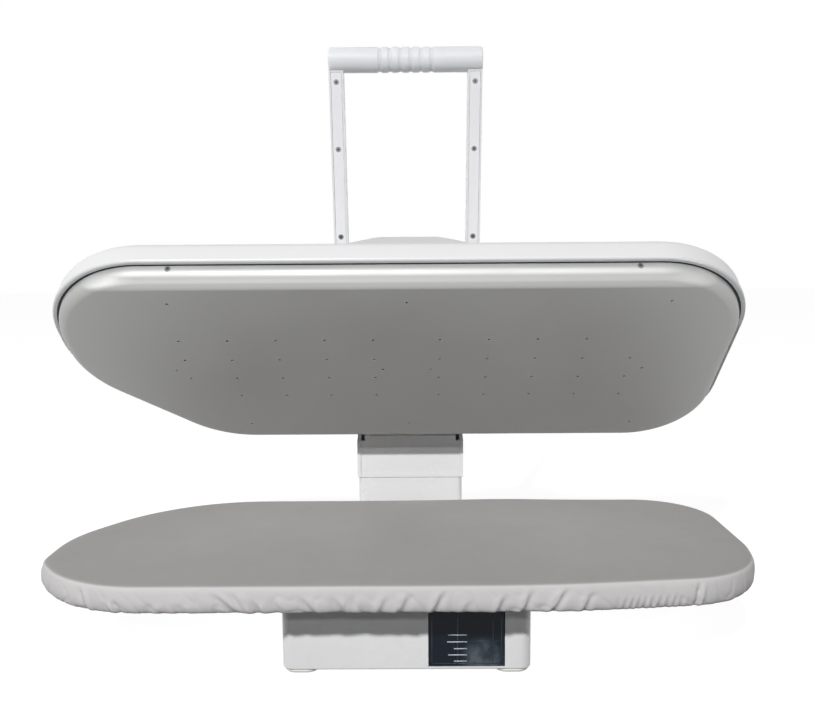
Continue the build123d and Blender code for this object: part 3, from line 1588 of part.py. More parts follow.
# Handle grip: round bar with raised rings in the middle, hollow for the rod
rod_inset = 4
grip_left = handle_x - handle_width / 2
grip_centre = handle_section(0).from_local_coords(Vector(handle_reach, 0, 0))
grip_axis = Axis(origin=grip_centre, direction=(1, 0, 0))
groove_start = handle_x - grip_groove_pitch * (grip_grooves - 1) / 2
groove_reach = handle_reach + grip_radius + grip_groove_radius - grip_groove_depth
with BuildPart() as handle_grip:
    with BuildSketch(handle_underside(0)):
        with Locations((handle_x, handle_reach + grip_radius / 2)):
            Rectangle(handle_width, grip_radius)
    revolve(axis=grip_axis)
    fillet(handle_grip.faces().filter_by(Axis.X).edges(), grip_end_round)
    with BuildSketch(handle_underside(0)):
        with Locations(*[(groove_start + i * grip_groove_pitch, groove_reach) for i in range(grip_grooves)]):
            Circle(grip_groove_radius)
    revolve(axis=grip_axis, mode=Mode.SUBTRACT)
    with BuildSketch(handle_section(grip_left + rod_inset)):
        with Locations((handle_reach, 0)):
            Circle(rod_radius)
    extrude(amount=handle_width - 2 * rod_inset, mode=Mode.SUBTRACT)
    for centre_x in arm_centres:
        with BuildSketch(handle_section(centre_x - arm_width / 2 + arm_shell)):
            with Locations((handle_reach - grip_radius, 0)):
                Rectangle(2 * handle_tab, tab_height)
        extrude(amount=arm_width - 2 * arm_shell, mode=Mode.SUBTRACT)

# Grip rod: steel core of the grip
with BuildPart() as grip_rod:
    with BuildSketch(handle_section(grip_left + rod_inset)):
        with Locations((handle_reach, 0)):
            Circle(rod_radius)
    extrude(amount=handle_width - 2 * rod_inset)

# Every piece under its name
pieces = {
    "feet": feet,
    "base_plate": base_plate,
    "base_housing": base_housing,
    "base_screws": base_screws,
    "tank_bay": tank_bay,
    "tank_shell": tank_shell,
    "tank_lid": tank_lid,
    "filler_cap": filler_cap,
    "cap_seal": cap_seal,
    "tank_valve": tank_valve,
    "tank_socket": tank_socket,
    "water_pump": water_pump,
    "pump_coil": pump_coil,
    "suction_hose": suction_hose,
    "feed_hose": feed_hose,
    "feed_banjo": feed_banjo,
    "column_frame": column_frame,
    "column_bolts": column_bolts,
    "hinge_shaft": hinge_shaft,
    "hinge_bushes": hinge_bushes,
    "hinge_spacer": hinge_spacer,
    "lift_springs": lift_springs,
    "neck_housing": neck_housing,
    "neck_cover": neck_cover,
    "power_gland": power_gland,
    "board_posts": board_posts,
    "board_pan": board_pan,
    "board_foam": board_foam,
    "board_cover": board_cover,
    "heating_plate": heating_plate,
    "plate_screws": plate_screws,
    "heating_element": heating_element,
    "chamber_cover": chamber_cover,
    "edge_gasket": edge_gasket,
    "thermostat": thermostat,
    "thermal_fuse": thermal_fuse,
    "insulation_mat": insulation_mat,
    "heat_shield": heat_shield,
    "head_cover": head_cover,
    "arm_frame": arm_frame,
    "arm_bolts": arm_bolts,
    "rotary_collar": rotary_collar,
    "steam_hose": steam_hose,
    "arm_cover": arm_cover,
    "console": console,
    "control_board": control_board,
    "power_button": power_button,
    "steam_button": steam_button,
    "indicator_lenses": indicator_lenses,
    "temperature_dial": temperature_dial,
    "head_harness": head_harness,
    "handle_shaft": handle_shaft,
    "handle_spacers": handle_spacers,
    "handle_spring": handle_spring,
    "handle_arm_left": handle_arm_left,
    "handle_arm_right": handle_arm_right,
    "handle_strips": handle_strips,
    "handle_screws": handle_screws,
    "handle_grip": handle_grip,
    "grip_rod": grip_rod,
}
os.makedirs("parts", exist_ok=True)
for name, piece in pieces.items():
    piece.part.label = name
    export_step(piece.part, f"parts/{name}.step")
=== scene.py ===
"""Looks of the steam press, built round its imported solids. Lengths are in metres."""
import json
import math

import bmesh
import bpy
from mathutils import Matrix, Vector, noise


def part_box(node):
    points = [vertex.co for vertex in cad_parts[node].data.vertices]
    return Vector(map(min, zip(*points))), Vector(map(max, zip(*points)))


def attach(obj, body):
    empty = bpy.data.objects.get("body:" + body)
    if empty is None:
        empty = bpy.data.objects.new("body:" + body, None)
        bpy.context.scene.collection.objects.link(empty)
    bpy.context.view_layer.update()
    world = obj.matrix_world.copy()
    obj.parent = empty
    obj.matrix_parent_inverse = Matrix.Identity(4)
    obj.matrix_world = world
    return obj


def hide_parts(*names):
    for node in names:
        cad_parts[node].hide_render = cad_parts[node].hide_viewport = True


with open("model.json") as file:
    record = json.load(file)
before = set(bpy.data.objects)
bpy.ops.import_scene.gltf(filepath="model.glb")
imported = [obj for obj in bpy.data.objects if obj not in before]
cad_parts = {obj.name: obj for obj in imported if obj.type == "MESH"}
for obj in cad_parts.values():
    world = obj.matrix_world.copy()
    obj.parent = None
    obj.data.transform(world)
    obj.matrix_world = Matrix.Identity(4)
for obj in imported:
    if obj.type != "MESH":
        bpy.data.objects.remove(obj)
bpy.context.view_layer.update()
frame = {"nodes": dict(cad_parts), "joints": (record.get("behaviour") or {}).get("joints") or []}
nodes = frame["nodes"]
mm = 0.001
x_axis = Vector((1, 0, 0))
z_axis = Vector((0, 0, 1))

# The head's ways up and back at rest, and how far back the front edge of its plate lies
joints = {joint["name"]: joint for joint in frame["joints"]}
head_up = -Vector(joints["power_press"]["axis"]).normalized()
head_back = head_up.cross(x_axis)
plate_front = min(vertex.co.dot(head_back) for vertex in nodes["heating_plate"].data.vertices)


# Small helpers
def rgb(red, green, blue):
    """A colour from 0 to 255 as the screen shows it, turned into linear light."""
    linear = []
    for value in (red, green, blue):
        share = value / 255
        linear.append(share / 12.92 if share <= 0.04045 else ((share + 0.055) / 1.055) ** 2.4)
    return (*linear, 1)


def add_object(name, data):
    """Puts a new object round its data into the scene."""
    thing = bpy.data.objects.new(name, data)
    bpy.context.scene.collection.objects.link(thing)
    return thing


def piece_from(name, work, finish, body):
    """Makes a piece from a worked mesh, gives it its finish and lets it ride on a body."""
    mesh = bpy.data.meshes.new(name)
    bmesh.ops.recalc_face_normals(work, faces=work.faces)
    work.to_mesh(mesh)
    work.free()
    piece = add_object(name, mesh)
    mesh.materials.append(finishes[finish])
    mesh.shade_smooth()
    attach(piece, body)
    return piece


# Shader steps, each a node with its links
def add_node(tree, kind, values=(), **settings):
    """One shader node with its settings and socket values."""
    node = tree.nodes.new(kind)
    for key, value in settings.items():
        setattr(node, key, value)
    for key, value in dict(values).items():
        node.inputs[key].default_value = value
    return node


def wire(tree, source, target):
    """Links a socket to another, or sets it where the source is a plain number."""
    if isinstance(source, float):
        target.default_value = source
    else:
        tree.links.new(source, target)


def sums(tree, operation, *sources):
    """One step of arithmetic over sockets and plain numbers."""
    node = add_node(tree, "ShaderNodeMath", operation=operation)
    for source, target in zip(sources, node.inputs):
        wire(tree, source, target)
    return node.outputs[0]


def remap(tree, source, low, high, to_low=0.0, to_high=1.0, smooth=False):
    """Carries a value from one range to another, eased at both ends if smooth."""
    node = add_node(
        tree, "ShaderNodeMapRange",
        {"From Min": low, "From Max": high, "To Min": to_low, "To Max": to_high},
        interpolation_type="SMOOTHSTEP" if smooth else "LINEAR",
    )
    wire(tree, source, node.inputs["Value"])
    return node.outputs["Result"]


def places(tree):
    """The places on a piece, in metres."""
    return add_node(tree, "ShaderNodeTexCoord").outputs["Object"]


def cloudy(tree, place, scale, detail, roughness=0.5):
    """A noise pattern over places, from 0 to 1."""
    pattern = add_node(tree, "ShaderNodeTexNoise", {"Detail": detail, "Roughness": roughness})
    wire(tree, place, pattern.inputs["Vector"])
    wire(tree, scale, pattern.inputs["Scale"])
    return pattern.outputs["Fac"]


def blend_colours(tree, share, first, second):
    """A colour between two, by share. Each of the two is a socket or a plain colour."""
    node = add_node(tree, "ShaderNodeMix", data_type="RGBA")
    wire(tree, share, node.inputs["Factor"])
    for label, colour in (("A", first), ("B", second)):
        if isinstance(colour, tuple):
            node.inputs[label].default_value = colour
        else:
            wire(tree, colour, node.inputs[label])
    return node.outputs["Result"]


# Shader groups that several finishes share
def new_group(name, inputs, outputs):
    """An empty shader group, the sockets of what it is given, and those of what it puts out."""
    group = bpy.data.node_groups.new(name, "ShaderNodeTree")
    for label, kind, value in inputs:
        socket = group.interface.new_socket(name=label, in_out="INPUT", socket_type=kind)
        socket.default_value = value
    for label, kind in outputs:
        group.interface.new_socket(name=label, in_out="OUTPUT", socket_type=kind)
    start = group.nodes.new("NodeGroupInput")
    end = group.nodes.new("NodeGroupOutput")
    return group, start.outputs, end.inputs


def make_mottle():
    """Slow uneven colour, from lighter to darker patches."""
    group, given, result = new_group(
        "mottle",
        [
            ("Colour", "NodeSocketColor", (1, 1, 1, 1)),
            ("Patch", "NodeSocketFloat", 20.0),
            ("Strength", "NodeSocketFloat", 0.06),
        ],
        [("Colour", "NodeSocketColor"), ("Mask", "NodeSocketFloat")],
    )
    cloud = cloudy(group, places(group), given["Patch"], detail=4.0, roughness=0.6)
    swing = sums(group, "MULTIPLY", sums(group, "SUBTRACT", cloud, 0.5), given["Strength"])
    tint = add_node(group, "ShaderNodeVectorMath", operation="SCALE")
    wire(group, given["Colour"], tint.inputs[0])
    wire(group, sums(group, "ADD", swing, 1.0), tint.inputs["Scale"])
    wire(group, tint.outputs[0], result["Colour"])
    wire(group, cloud, result["Mask"])
    return group


def make_worn_edges():
    """Lets a colour wear to another where the surface turns sharply, broken up by small marks."""
    group, given, result = new_group(
        "worn_edges",
        [
            ("Colour", "NodeSocketColor", (1, 1, 1, 1)),
            ("Worn", "NodeSocketColor", (1, 1, 1, 1)),
            ("Amount", "NodeSocketFloat", 0.3),
        ],
        [("Colour", "NodeSocketColor")],
    )
    shape = add_node(group, "ShaderNodeNewGeometry")
    edge = remap(group, shape.outputs["Pointiness"], 0.52, 0.64)
    marks = cloudy(group, places(group), 140.0, detail=3.0)
    share = sums(group, "MULTIPLY", sums(group, "MULTIPLY", edge, marks), given["Amount"])
    wire(group, blend_colours(group, share, given["Colour"], given["Worn"]), result["Colour"])
    return group


def make_moulded_skin():
    """The fine ripple and pores of a moulded or cast surface, as a height."""
    group, given, result = new_group(
        "moulded_skin",
        [("Pore", "NodeSocketFloat", 900.0), ("Ripple", "NodeSocketFloat", 60.0)],
        [("Height", "NodeSocketFloat")],
    )
    place = places(group)
    pores = cloudy(group, place, given["Pore"], detail=2.0)
    ripple = cloudy(group, place, given["Ripple"], detail=1.0)
    pore_share = 0.25
    wire(group, sums(group, "MULTIPLY_ADD", pores, pore_share, ripple), result["Height"])
    return group


def make_drawn_lines():
    """Long fine lines across a machined or drawn metal, as a height."""
    group, given, result = new_group(
        "drawn_lines",
        [("Lines per metre", "NodeSocketVector", (30.0, 1200.0, 1200.0))],
        [("Height", "NodeSocketFloat")],
    )
    stretch = add_node(group, "ShaderNodeVectorMath", operation="MULTIPLY")
    wire(group, places(group), stretch.inputs[0])
    wire(group, given["Lines per metre"], stretch.inputs[1])
    wire(group, cloudy(group, stretch.outputs[0], 1.0, detail=3.0), result["Height"])
    return group


def make_plain_weave():
    """Over-and-under threads of a plain cotton weave, as a height, and a mask of their thick spots."""
    group, given, result = new_group(
        "plain_weave",
        [("Threads", "NodeSocketFloat", 9000.0), ("Unevenness", "NodeSocketFloat", 0.35)],
        [("Height", "NodeSocketFloat"), ("Mask", "NodeSocketFloat")],
    )
    place = places(group)
    parts = add_node(group, "ShaderNodeSeparateXYZ")
    wire(group, place, parts.inputs[0])
    down_side = sums(group, "ADD", parts.outputs["Y"], parts.outputs["Z"])
    warp, weft = [
        sums(group, "SINE", sums(group, "MULTIPLY", run, given["Threads"]))
        for run in (parts.outputs["X"], down_side)
    ]
    crossing = sums(group, "MULTIPLY", warp, weft)
    slub = cloudy(group, place, 700.0, detail=3.0)
    wire(group, sums(group, "MULTIPLY_ADD", slub, given["Unevenness"], crossing), result["Height"])
    wire(group, slub, result["Mask"])
    return group


mottle = make_mottle()
worn_edges = make_worn_edges()
moulded_skin = make_moulded_skin()
drawn_lines = make_drawn_lines()
plain_weave = make_plain_weave()


# Steps that several finishes share
def use_group(tree, group, values=()):
    """Places a shared shader group in a finish."""
    return add_node(tree, "ShaderNodeGroup", values, node_tree=group)


def new_finish(name, roughness, metallic=0.0, specular=0.5):
    """A material with its Principled shader, ready for colour and bump."""
    finish = bpy.data.materials.new(name)
    finish.use_nodes = True
    shader = finish.node_tree.nodes["Principled BSDF"]
    shader.inputs["Roughness"].default_value = roughness
    shader.inputs["Metallic"].default_value = metallic
    shader.inputs["Specular IOR Level"].default_value = specular
    return finish, finish.node_tree, shader


def paint(tree, shader, colour, patch, strength):
    """Gives a finish its colour in slow patches, and returns the patches' mask."""
    tone = use_group(tree, mottle, {"Colour": colour, "Patch": patch, "Strength": strength})
    wire(tree, tone.outputs["Colour"], shader.inputs["Base Color"])
    return tone.outputs["Mask"]


def rub_edges(tree, shader, worn, amount):
    """Lets the finish's colour wear to another at its sharp edges."""
    edges = use_group(tree, worn_edges, {"Worn": worn, "Amount": amount})
    wire(tree, shader.inputs["Base Color"].links[0].from_socket, edges.inputs["Colour"])
    wire(tree, edges.outputs["Colour"], shader.inputs["Base Color"])


def uneven_gloss(tree, shader, mask, low, high):
    """Lets the gloss follow a mask between two roughness values."""
    wire(tree, remap(tree, mask, 0.3, 0.7, low, high), shader.inputs["Roughness"])


def add_bump(tree, shader, height, distance, strength=0.3):
    """Turns a height into a bump of a real depth."""
    bump = add_node(tree, "ShaderNodeBump", {"Strength": strength, "Distance": distance})
    wire(tree, height, bump.inputs["Height"])
    wire(tree, bump.outputs["Normal"], shader.inputs["Normal"])
    return bump


def draw_lines(tree, shader):
    """The lines that drawing or pressing leaves along a metal's width."""
    lines = use_group(tree, drawn_lines, {"Lines per metre": (30.0, 1200.0, 1200.0)})
    return add_bump(tree, shader, lines.outputs["Height"], 0.04 * mm, strength=0.2)


# Kinds of finish
def moulded_plastic(name, colour, roughness, worn, gloss=0.35, depth=0.06 * mm):
    """Injection-moulded plastic: slow tone changes, a faint ripple, scuffed edges."""
    finish, tree, shader = new_finish(name, roughness, specular=gloss)
    patches = paint(tree, shader, colour, patch=14.0, strength=0.04)
    rub_edges(tree, shader, worn, amount=0.35)
    uneven_gloss(tree, shader, patches, roughness * 0.85, roughness * 1.2)
    skin = use_group(tree, moulded_skin)
    add_bump(tree, shader, skin.outputs["Height"], depth)
    return finish


def milky_plastic_painted_glow(name, colour, roughness, worn):
    """A milky plastic that light sinks into for a few millimetres, with a faint painted glow that
    lightens its shaded side.
    """
    finish = moulded_plastic(name, colour, roughness, worn, gloss=0.2)
    shader = finish.node_tree.nodes["Principled BSDF"]
    shader.inputs["Subsurface Weight"].default_value = 0.8
    shader.inputs["Subsurface Scale"].default_value = 12 * mm
    shader.inputs["Subsurface Radius"].default_value = (1.0, 1.0, 1.0)
    # Painted glow: a faint white emission, though the part is no lamp
    shader.inputs["Emission Color"].default_value = (1, 1, 1, 1)
    shader.inputs["Emission Strength"].default_value = 0.14
    return finish


def worked_metal(name, colour, roughness, worn):
    """Drawn, machined or plated metal with fine lines and rubbed edges."""
    finish, tree, shader = new_finish(name, roughness, metallic=1.0)
    patches = paint(tree, shader, colour, patch=25.0, strength=0.1)
    rub_edges(tree, shader, worn, amount=0.4)
    uneven_gloss(tree, shader, patches, roughness * 0.8, roughness * 1.25)
    draw_lines(tree, shader)
    return finish


def soft_rubber(name, colour, roughness, pore=1500.0, depth=0.12 * mm):
    """Rubber, foam or fibre: matt, with a fine open grain."""
    finish, tree, shader = new_finish(name, roughness, specular=0.35)
    patches = paint(tree, shader, colour, patch=60.0, strength=0.12)
    uneven_gloss(tree, shader, patches, roughness * 0.9, min(1.0, roughness * 1.1))
    skin = use_group(tree, moulded_skin, {"Pore": pore, "Ripple": 200.0})
    add_bump(tree, shader, skin.outputs["Height"], depth, strength=0.5)
    return finish


def see_through_plastic(name, colour, roughness, clear):
    """Tinted clear plastic that light passes through."""
    finish, tree, shader = new_finish(name, roughness, specular=0.05)
    shader.inputs["Transmission Weight"].default_value = clear
    shader.inputs["IOR"].default_value = 1.49
    patches = paint(tree, shader, colour, patch=18.0, strength=0.1)
    uneven_gloss(tree, shader, patches, roughness * 0.8, roughness * 1.3)
    skin = use_group(tree, moulded_skin, {"Ripple": 35.0})
    add_bump(tree, shader, skin.outputs["Height"], 0.05 * mm, strength=0.2)
    return finish


def cotton_painted_shade(name, top, side):
    """Cotton in a fine weave with a silvery coating, its flat top painted darker than its sides as
    painted shade.
    """
    finish, tree, shader = new_finish(name, roughness=0.66, specular=0.08)
    facing = add_node(tree, "ShaderNodeSeparateXYZ")
    wire(tree, add_node(tree, "ShaderNodeTexCoord").outputs["Normal"], facing.inputs[0])
    # Painted shade: the colour turns from the side colour to the darker top colour where the surface
    # faces up
    painted_top_shade = remap(tree, facing.outputs["Z"], 0.72, 0.985, smooth=True)
    tone = use_group(tree, mottle, {"Patch": 26.0, "Strength": 0.10})
    wire(tree, blend_colours(tree, painted_top_shade, side, top), tone.inputs["Colour"])
    wire(tree, tone.outputs["Colour"], shader.inputs["Base Color"])
    weave = use_group(tree, plain_weave, {"Threads": 9000.0, "Unevenness": 0.8})
    uneven_gloss(tree, shader, weave.outputs["Mask"], 0.56, 0.7)
    add_bump(tree, shader, weave.outputs["Height"], 0.05 * mm, strength=0.35)
    return finish


# The slow curve of the plate's face: where it begins and ends behind the front edge, and its rise
curve_begin = 3 * mm
curve_end = 16 * mm
curve_rise = 6.2 * mm


def pressed_plate(name, colour, roughness):
    """The heating plate: satin aluminium, its face rising in a slow curve behind the front edge."""
    finish, tree, shader = new_finish(name, roughness, metallic=0.6)
    patches = paint(tree, shader, colour, patch=9.0, strength=0.07)
    uneven_gloss(tree, shader, patches, roughness * 0.9, roughness * 1.1)
    lines = draw_lines(tree, shader)
    behind = add_node(tree, "ShaderNodeVectorMath", {1: head_back}, operation="DOT_PRODUCT")
    wire(tree, places(tree), behind.inputs[0])
    rise = remap(
        tree, behind.outputs["Value"],
        plate_front + curve_begin, plate_front + curve_end, 0.0, curve_rise, smooth=True,
    )
    curve = add_node(tree, "ShaderNodeBump", {"Strength": 1.0, "Distance": 1.0})
    wire(tree, rise, curve.inputs["Height"])
    wire(tree, curve.outputs["Normal"], lines.inputs["Normal"])
    return finish


# The painted pool of light low on the tank's front: its middle, how far it is full and how far it reaches
tank_low, tank_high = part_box("tank_shell")
painted_light_spot = (tank_low[0] + 44 * mm, tank_low[1], tank_low[2] + 6 * mm)
painted_light_full = 6 * mm
painted_light_reach = 21 * mm
painted_light_strength = 0.85


def smoked_plastic_painted_light(name, colour, pale, roughness, clear):
    """The tank's smoked plastic, with a cloudy pale patch of painted light low on its front."""
    finish = see_through_plastic(name, colour, roughness, clear)
    tree = finish.node_tree
    shader = tree.nodes["Principled BSDF"]
    place = places(tree)
    away = add_node(tree, "ShaderNodeVectorMath", {1: painted_light_spot}, operation="DISTANCE")
    wire(tree, place, away.inputs[0])
    near = remap(tree, away.outputs["Value"], painted_light_reach, painted_light_full, 0.0, painted_light_strength, smooth=True)
    patchy = remap(tree, cloudy(tree, place, 120.0, detail=3.0), 0.35, 0.6, 0.25, 1.0)
    # Painted light: the smoke colour turns pale inside the patch
    share = sums(tree, "MULTIPLY", near, patchy)
    smoke = shader.inputs["Base Color"].links[0].from_socket
    wire(tree, blend_colours(tree, share, smoke, pale), shader.inputs["Base Color"])
    return finish


finishes = {
    "white_shell": moulded_plastic(
        "white_shell", rgb(219, 219, 220), 0.26, rgb(240, 240, 240), gloss=0.25
    ),
    "head_shell": moulded_plastic("head_shell", rgb(223, 223, 224), 0.34, rgb(242, 242, 242)),
    "foot_pad": moulded_plastic(
        "foot_pad", rgb(238, 236, 230), 0.6, rgb(206, 203, 195), depth=0.1 * mm
    ),
    "sheet_steel": worked_metal("sheet_steel", rgb(186, 188, 190), 0.34, rgb(214, 214, 214)),
    # The tank's pale low patch is painted light
    "smoked_tank": smoked_plastic_painted_light("smoked_tank", rgb(14, 26, 38), rgb(104, 112, 122), 0.2, 0.3),
    "tank_white": moulded_plastic("tank_white", rgb(224, 224, 222), 0.4, rgb(240, 240, 238)),
    "dark_seal": soft_rubber("dark_seal", rgb(38, 52, 62), 0.55),
    "fitting_brass": worked_metal("fitting_brass", rgb(214, 178, 104), 0.28, rgb(236, 206, 142)),
    "plate_aluminium": pressed_plate("plate_aluminium", rgb(180, 180, 179), 0.6),
    # The cloth's darker top colour is painted shade
    "cover_cloth": cotton_painted_shade("cover_cloth", rgb(164, 162, 160), rgb(201, 199, 199)),
    "pad_foam": soft_rubber("pad_foam", rgb(226, 220, 200), 0.95, pore=900.0, depth=0.4 * mm),
    "mat_fibre": soft_rubber("mat_fibre", rgb(218, 212, 196), 0.95, pore=1100.0, depth=0.4 * mm),
    "hose_silicone": soft_rubber("hose_silicone", rgb(224, 224, 220), 0.5),
    "dark_plastic": moulded_plastic("dark_plastic", rgb(46, 46, 49), 0.45, rgb(78, 78, 82)),
    "coil_wire": worked_metal("coil_wire", rgb(178, 104, 62), 0.3, rgb(206, 140, 96)),
    "circuit_board": moulded_plastic("circuit_board", rgb(28, 92, 54), 0.4, rgb(140, 150, 110)),
    "wire_sleeve": soft_rubber("wire_sleeve", rgb(150, 34, 28), 0.5),
    "control_grey": moulded_plastic("control_grey", rgb(150, 153, 158), 0.36, rgb(176, 178, 182)),
    "lens_amber": see_through_plastic("lens_amber", rgb(236, 140, 50), 0.15, 0.6),
    "strip_plastic": moulded_plastic("strip_plastic", rgb(226, 226, 229), 0.4, rgb(236, 236, 236)),
    # The grip's finish holds a painted glow that lightens its underside
    "grip_plastic": milky_plastic_painted_glow("grip_plastic", rgb(200, 202, 205), 0.42, rgb(216, 216, 216)),
    # The console is painted a darker grey than the white shell, as painted shade
    "console_plastic": moulded_plastic("console_plastic", rgb(194, 194, 194), 0.4, rgb(226, 226, 226)),
    "tank_line": moulded_plastic("tank_line", rgb(10, 40, 58), 0.35, rgb(22, 54, 72)),
    "tank_mark": moulded_plastic("tank_mark", rgb(186, 194, 202), 0.5, rgb(200, 206, 212)),
    # Painted shade for the screws' cross recesses
    "recess_dark": moulded_plastic("recess_dark", rgb(52, 52, 56), 0.5, rgb(84, 84, 88)),
    "screw_dark": worked_metal("screw_dark", rgb(138, 138, 142), 0.4, rgb(190, 190, 194)),
}

# Nodes whose finish differs from the one that their slot shares
own_finish = {
    # The console's finish is painted shade, and the grip's holds a painted glow
    "handle_strips": "strip_plastic", "handle_grip": "grip_plastic", "console": "console_plastic",
    "hinge_spacer": "control_grey",
}

# How far the edges of the moulded and pressed nodes are softened, in mm
soft_edges = {
    "base_housing": 0.6, "neck_housing": 0.5, "neck_cover": 0.5, "arm_cover": 0.5, "console": 0.4,
    "handle_arm_left": 1.2, "handle_arm_right": 1.2, "handle_strips": 0.35, "tank_shell": 0.6,
    "feet": 0.8, "head_cover": 0.3, "tank_lid": 0.3, "filler_cap": 0.3, "temperature_dial": 0.3,
    "power_button": 0.3, "steam_button": 0.3, "board_pan": 0.2, "arm_frame": 0.25,
}
weld_gap = 0.002 * mm
flat_angle = math.radians(0.6)
softened_angle = math.radians(35)
sharp_angle = math.radians(38)

for node_name, node in nodes.items():
    slot_name = node.data.materials[0].name
    node.material_slots[0].material = finishes[own_finish.get(node_name, slot_name)]
    node.data.shade_smooth()
    weld = node.modifiers.new("join", "WELD")
    weld.merge_threshold = weld_gap
    if node_name in soft_edges:
        flat = node.modifiers.new("flat_faces", "DECIMATE")
        flat.decimate_type = "DISSOLVE"
        flat.angle_limit = flat_angle
        bevel = node.modifiers.new("soft_edge", "BEVEL")
        bevel.width = soft_edges[node_name] * mm
        bevel.segments = 2
        bevel.limit_method = "ANGLE"
        bevel.angle_limit = softened_angle
    crisp = node.modifiers.new("crisp", "EDGE_SPLIT")
    crisp.split_angle = sharp_angle
    shading = node.modifiers.new("even_shading", "WEIGHTED_NORMAL")
    shading.keep_sharp = True


# Camera at the photograph's viewing angle
focal_pixels = 915
frame_width = 815
camera_spot = Vector((0.01179, -0.8215, 0.3407))
camera_pitch = math.radians(6.43)
camera_yaw = math.radians(-0.40)
camera_roll = math.radians(0.40)
camera_data = bpy.data.cameras.new("camera")
camera_data.sensor_width = 36
camera_data.lens = focal_pixels / frame_width * camera_data.sensor_width
camera_data.dof.use_dof = False
camera = add_object("camera", camera_data)
look = Vector((
    math.sin(camera_yaw) * math.cos(camera_pitch),
    math.cos(camera_yaw) * math.cos(camera_pitch),
    -math.sin(camera_pitch),
))
level_right = Vector((math.cos(camera_yaw), -math.sin(camera_yaw), 0))
level_down = look.cross(level_right)
right = math.cos(camera_roll) * level_right + math.sin(camera_roll) * level_down
down = -math.sin(camera_roll) * level_right + math.cos(camera_roll) * level_down
turn = Matrix((right, -down, -look)).transposed().to_4x4()
camera.matrix_world = Matrix.Translation(camera_spot) @ turn
bpy.context.scene.camera = camera


# Lamps: one clear studio key from the front, a weak one near the camera, low ones at the sides and back
key_data = bpy.data.lights.new("key", "POINT")
key_data.energy = 480
key_data.shadow_soft_size = 0.08
key = add_object("key", key_data)
key.location = (-0.75, -3.0, 2.11)

far_lamps = [
    # name, compass angle and height in degrees, strength, softness in degrees, seen in gloss
    ("near_camera", -4, 26.3, 0.4, 3, True),
    ("behind_left", 168, 5, 1.7, 20, False),
    ("behind_right", -162, 5, 1.3, 20, False),
    ("side_left", 112, 4, 1.2, 20, False),
    ("side_right", -112, 4, 1.0, 20, False),
]
for name, compass, height, strength, softness, in_gloss in far_lamps:
    lamp_data = bpy.data.lights.new(name, "SUN")
    lamp_data.energy = strength
    lamp_data.angle = math.radians(softness)
    lamp = add_object(name, lamp_data)
    aside = math.radians(compass)
    above = math.radians(height)
    source = Vector((
        -math.sin(aside) * math.cos(above), -math.cos(aside) * math.cos(above), math.sin(above)
    ))
    lamp.rotation_euler = source.to_track_quat("Z", "Y").to_euler()
    lamp.visible_glossy = in_gloss


# World and floor: both show white to the eye and in gloss and glass, and add little light
def seen_rays(tree):
    """1 for what the camera, gloss and glass show, and 0 for what lights the part."""
    paths = add_node(tree, "ShaderNodeLightPath").outputs
    seen = sums(tree, "MAXIMUM", paths["Is Camera Ray"], paths["Is Glossy Ray"])
    return sums(tree, "MAXIMUM", seen, paths["Is Transmission Ray"])


room_light = 0.02
floor_radius = 9.0
floor_glow = 0.93
floor_seen_tone = 0.2
floor_lighting_tone = 0.08

world = bpy.data.worlds.new("studio")
bpy.context.scene.world = world
world.use_nodes = True
air = world.node_tree
background = air.nodes["Background"]
background.inputs["Color"].default_value = (1, 1, 1, 1)
wire(air, remap(air, seen_rays(air), 0.0, 1.0, room_light, 1.0), background.inputs["Strength"])
bpy.context.scene.view_settings.view_transform = "Standard"


def make_floor():
    """A pale floor that shows white, and keeps a light shadow of the part."""
    finish = bpy.data.materials.new("floor")
    finish.use_nodes = True
    tree = finish.node_tree
    tree.nodes.remove(tree.nodes["Principled BSDF"])
    seen = seen_rays(tree)
    surface = add_node(tree, "ShaderNodeBsdfDiffuse")
    tone = remap(tree, seen, 0.0, 1.0, floor_lighting_tone, floor_seen_tone)
    wire(tree, tone, surface.inputs["Color"])
    glow = add_node(tree, "ShaderNodeEmission", {"Color": (1, 1, 1, 1)})
    wire(tree, remap(tree, seen, 0.0, 1.0, 0.0, floor_glow), glow.inputs["Strength"])
    both = add_node(tree, "ShaderNodeAddShader")
    wire(tree, surface.outputs[0], both.inputs[0])
    wire(tree, glow.outputs[0], both.inputs[1])
    wire(tree, both.outputs[0], tree.nodes["Material Output"].inputs["Surface"])
    work = bmesh.new()
    bmesh.ops.create_circle(work, cap_ends=True, segments=96, radius=floor_radius)
    mesh = bpy.data.meshes.new("floor")
    work.to_mesh(mesh)
    work.free()
    mesh.materials.append(finish)
    floor = add_object("floor", mesh)
    floor.location.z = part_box("feet")[0][2]


make_floor()


# Outline of the board cover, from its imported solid
nearly_straight = 1e-12


def hull_of(points):
    """The outline round a set of flat points, in turning order."""
    points = sorted(set(points))

    def half(ordered):
        chain = []
        for point in ordered:
            while len(chain) > 1:
                (ax, ay), (bx, by) = chain[-2], chain[-1]
                if (bx - ax) * (point[1] - ay) - (by - ay) * (point[0] - ax) > nearly_straight:
                    break
                chain.pop()
            chain.append(point)
        return chain[:-1]

    return half(points) + half(points[::-1])


def even_loop(corners, count):
    """Evenly spaced points along a closed outline."""
    lengths = [math.dist(corners[i], corners[(i + 1) % len(corners)]) for i in range(len(corners))]
    step = sum(lengths) / count
    loop = []
    index = 0
    passed = 0.0
    for number in range(count):
        target = number * step
        while passed + lengths[index] < target:
            passed += lengths[index]
            index += 1
        share = (target - passed) / lengths[index]
        start = Vector(corners[index])
        end = Vector(corners[(index + 1) % len(corners)])
        loop.append(start.lerp(end, share))
    return loop


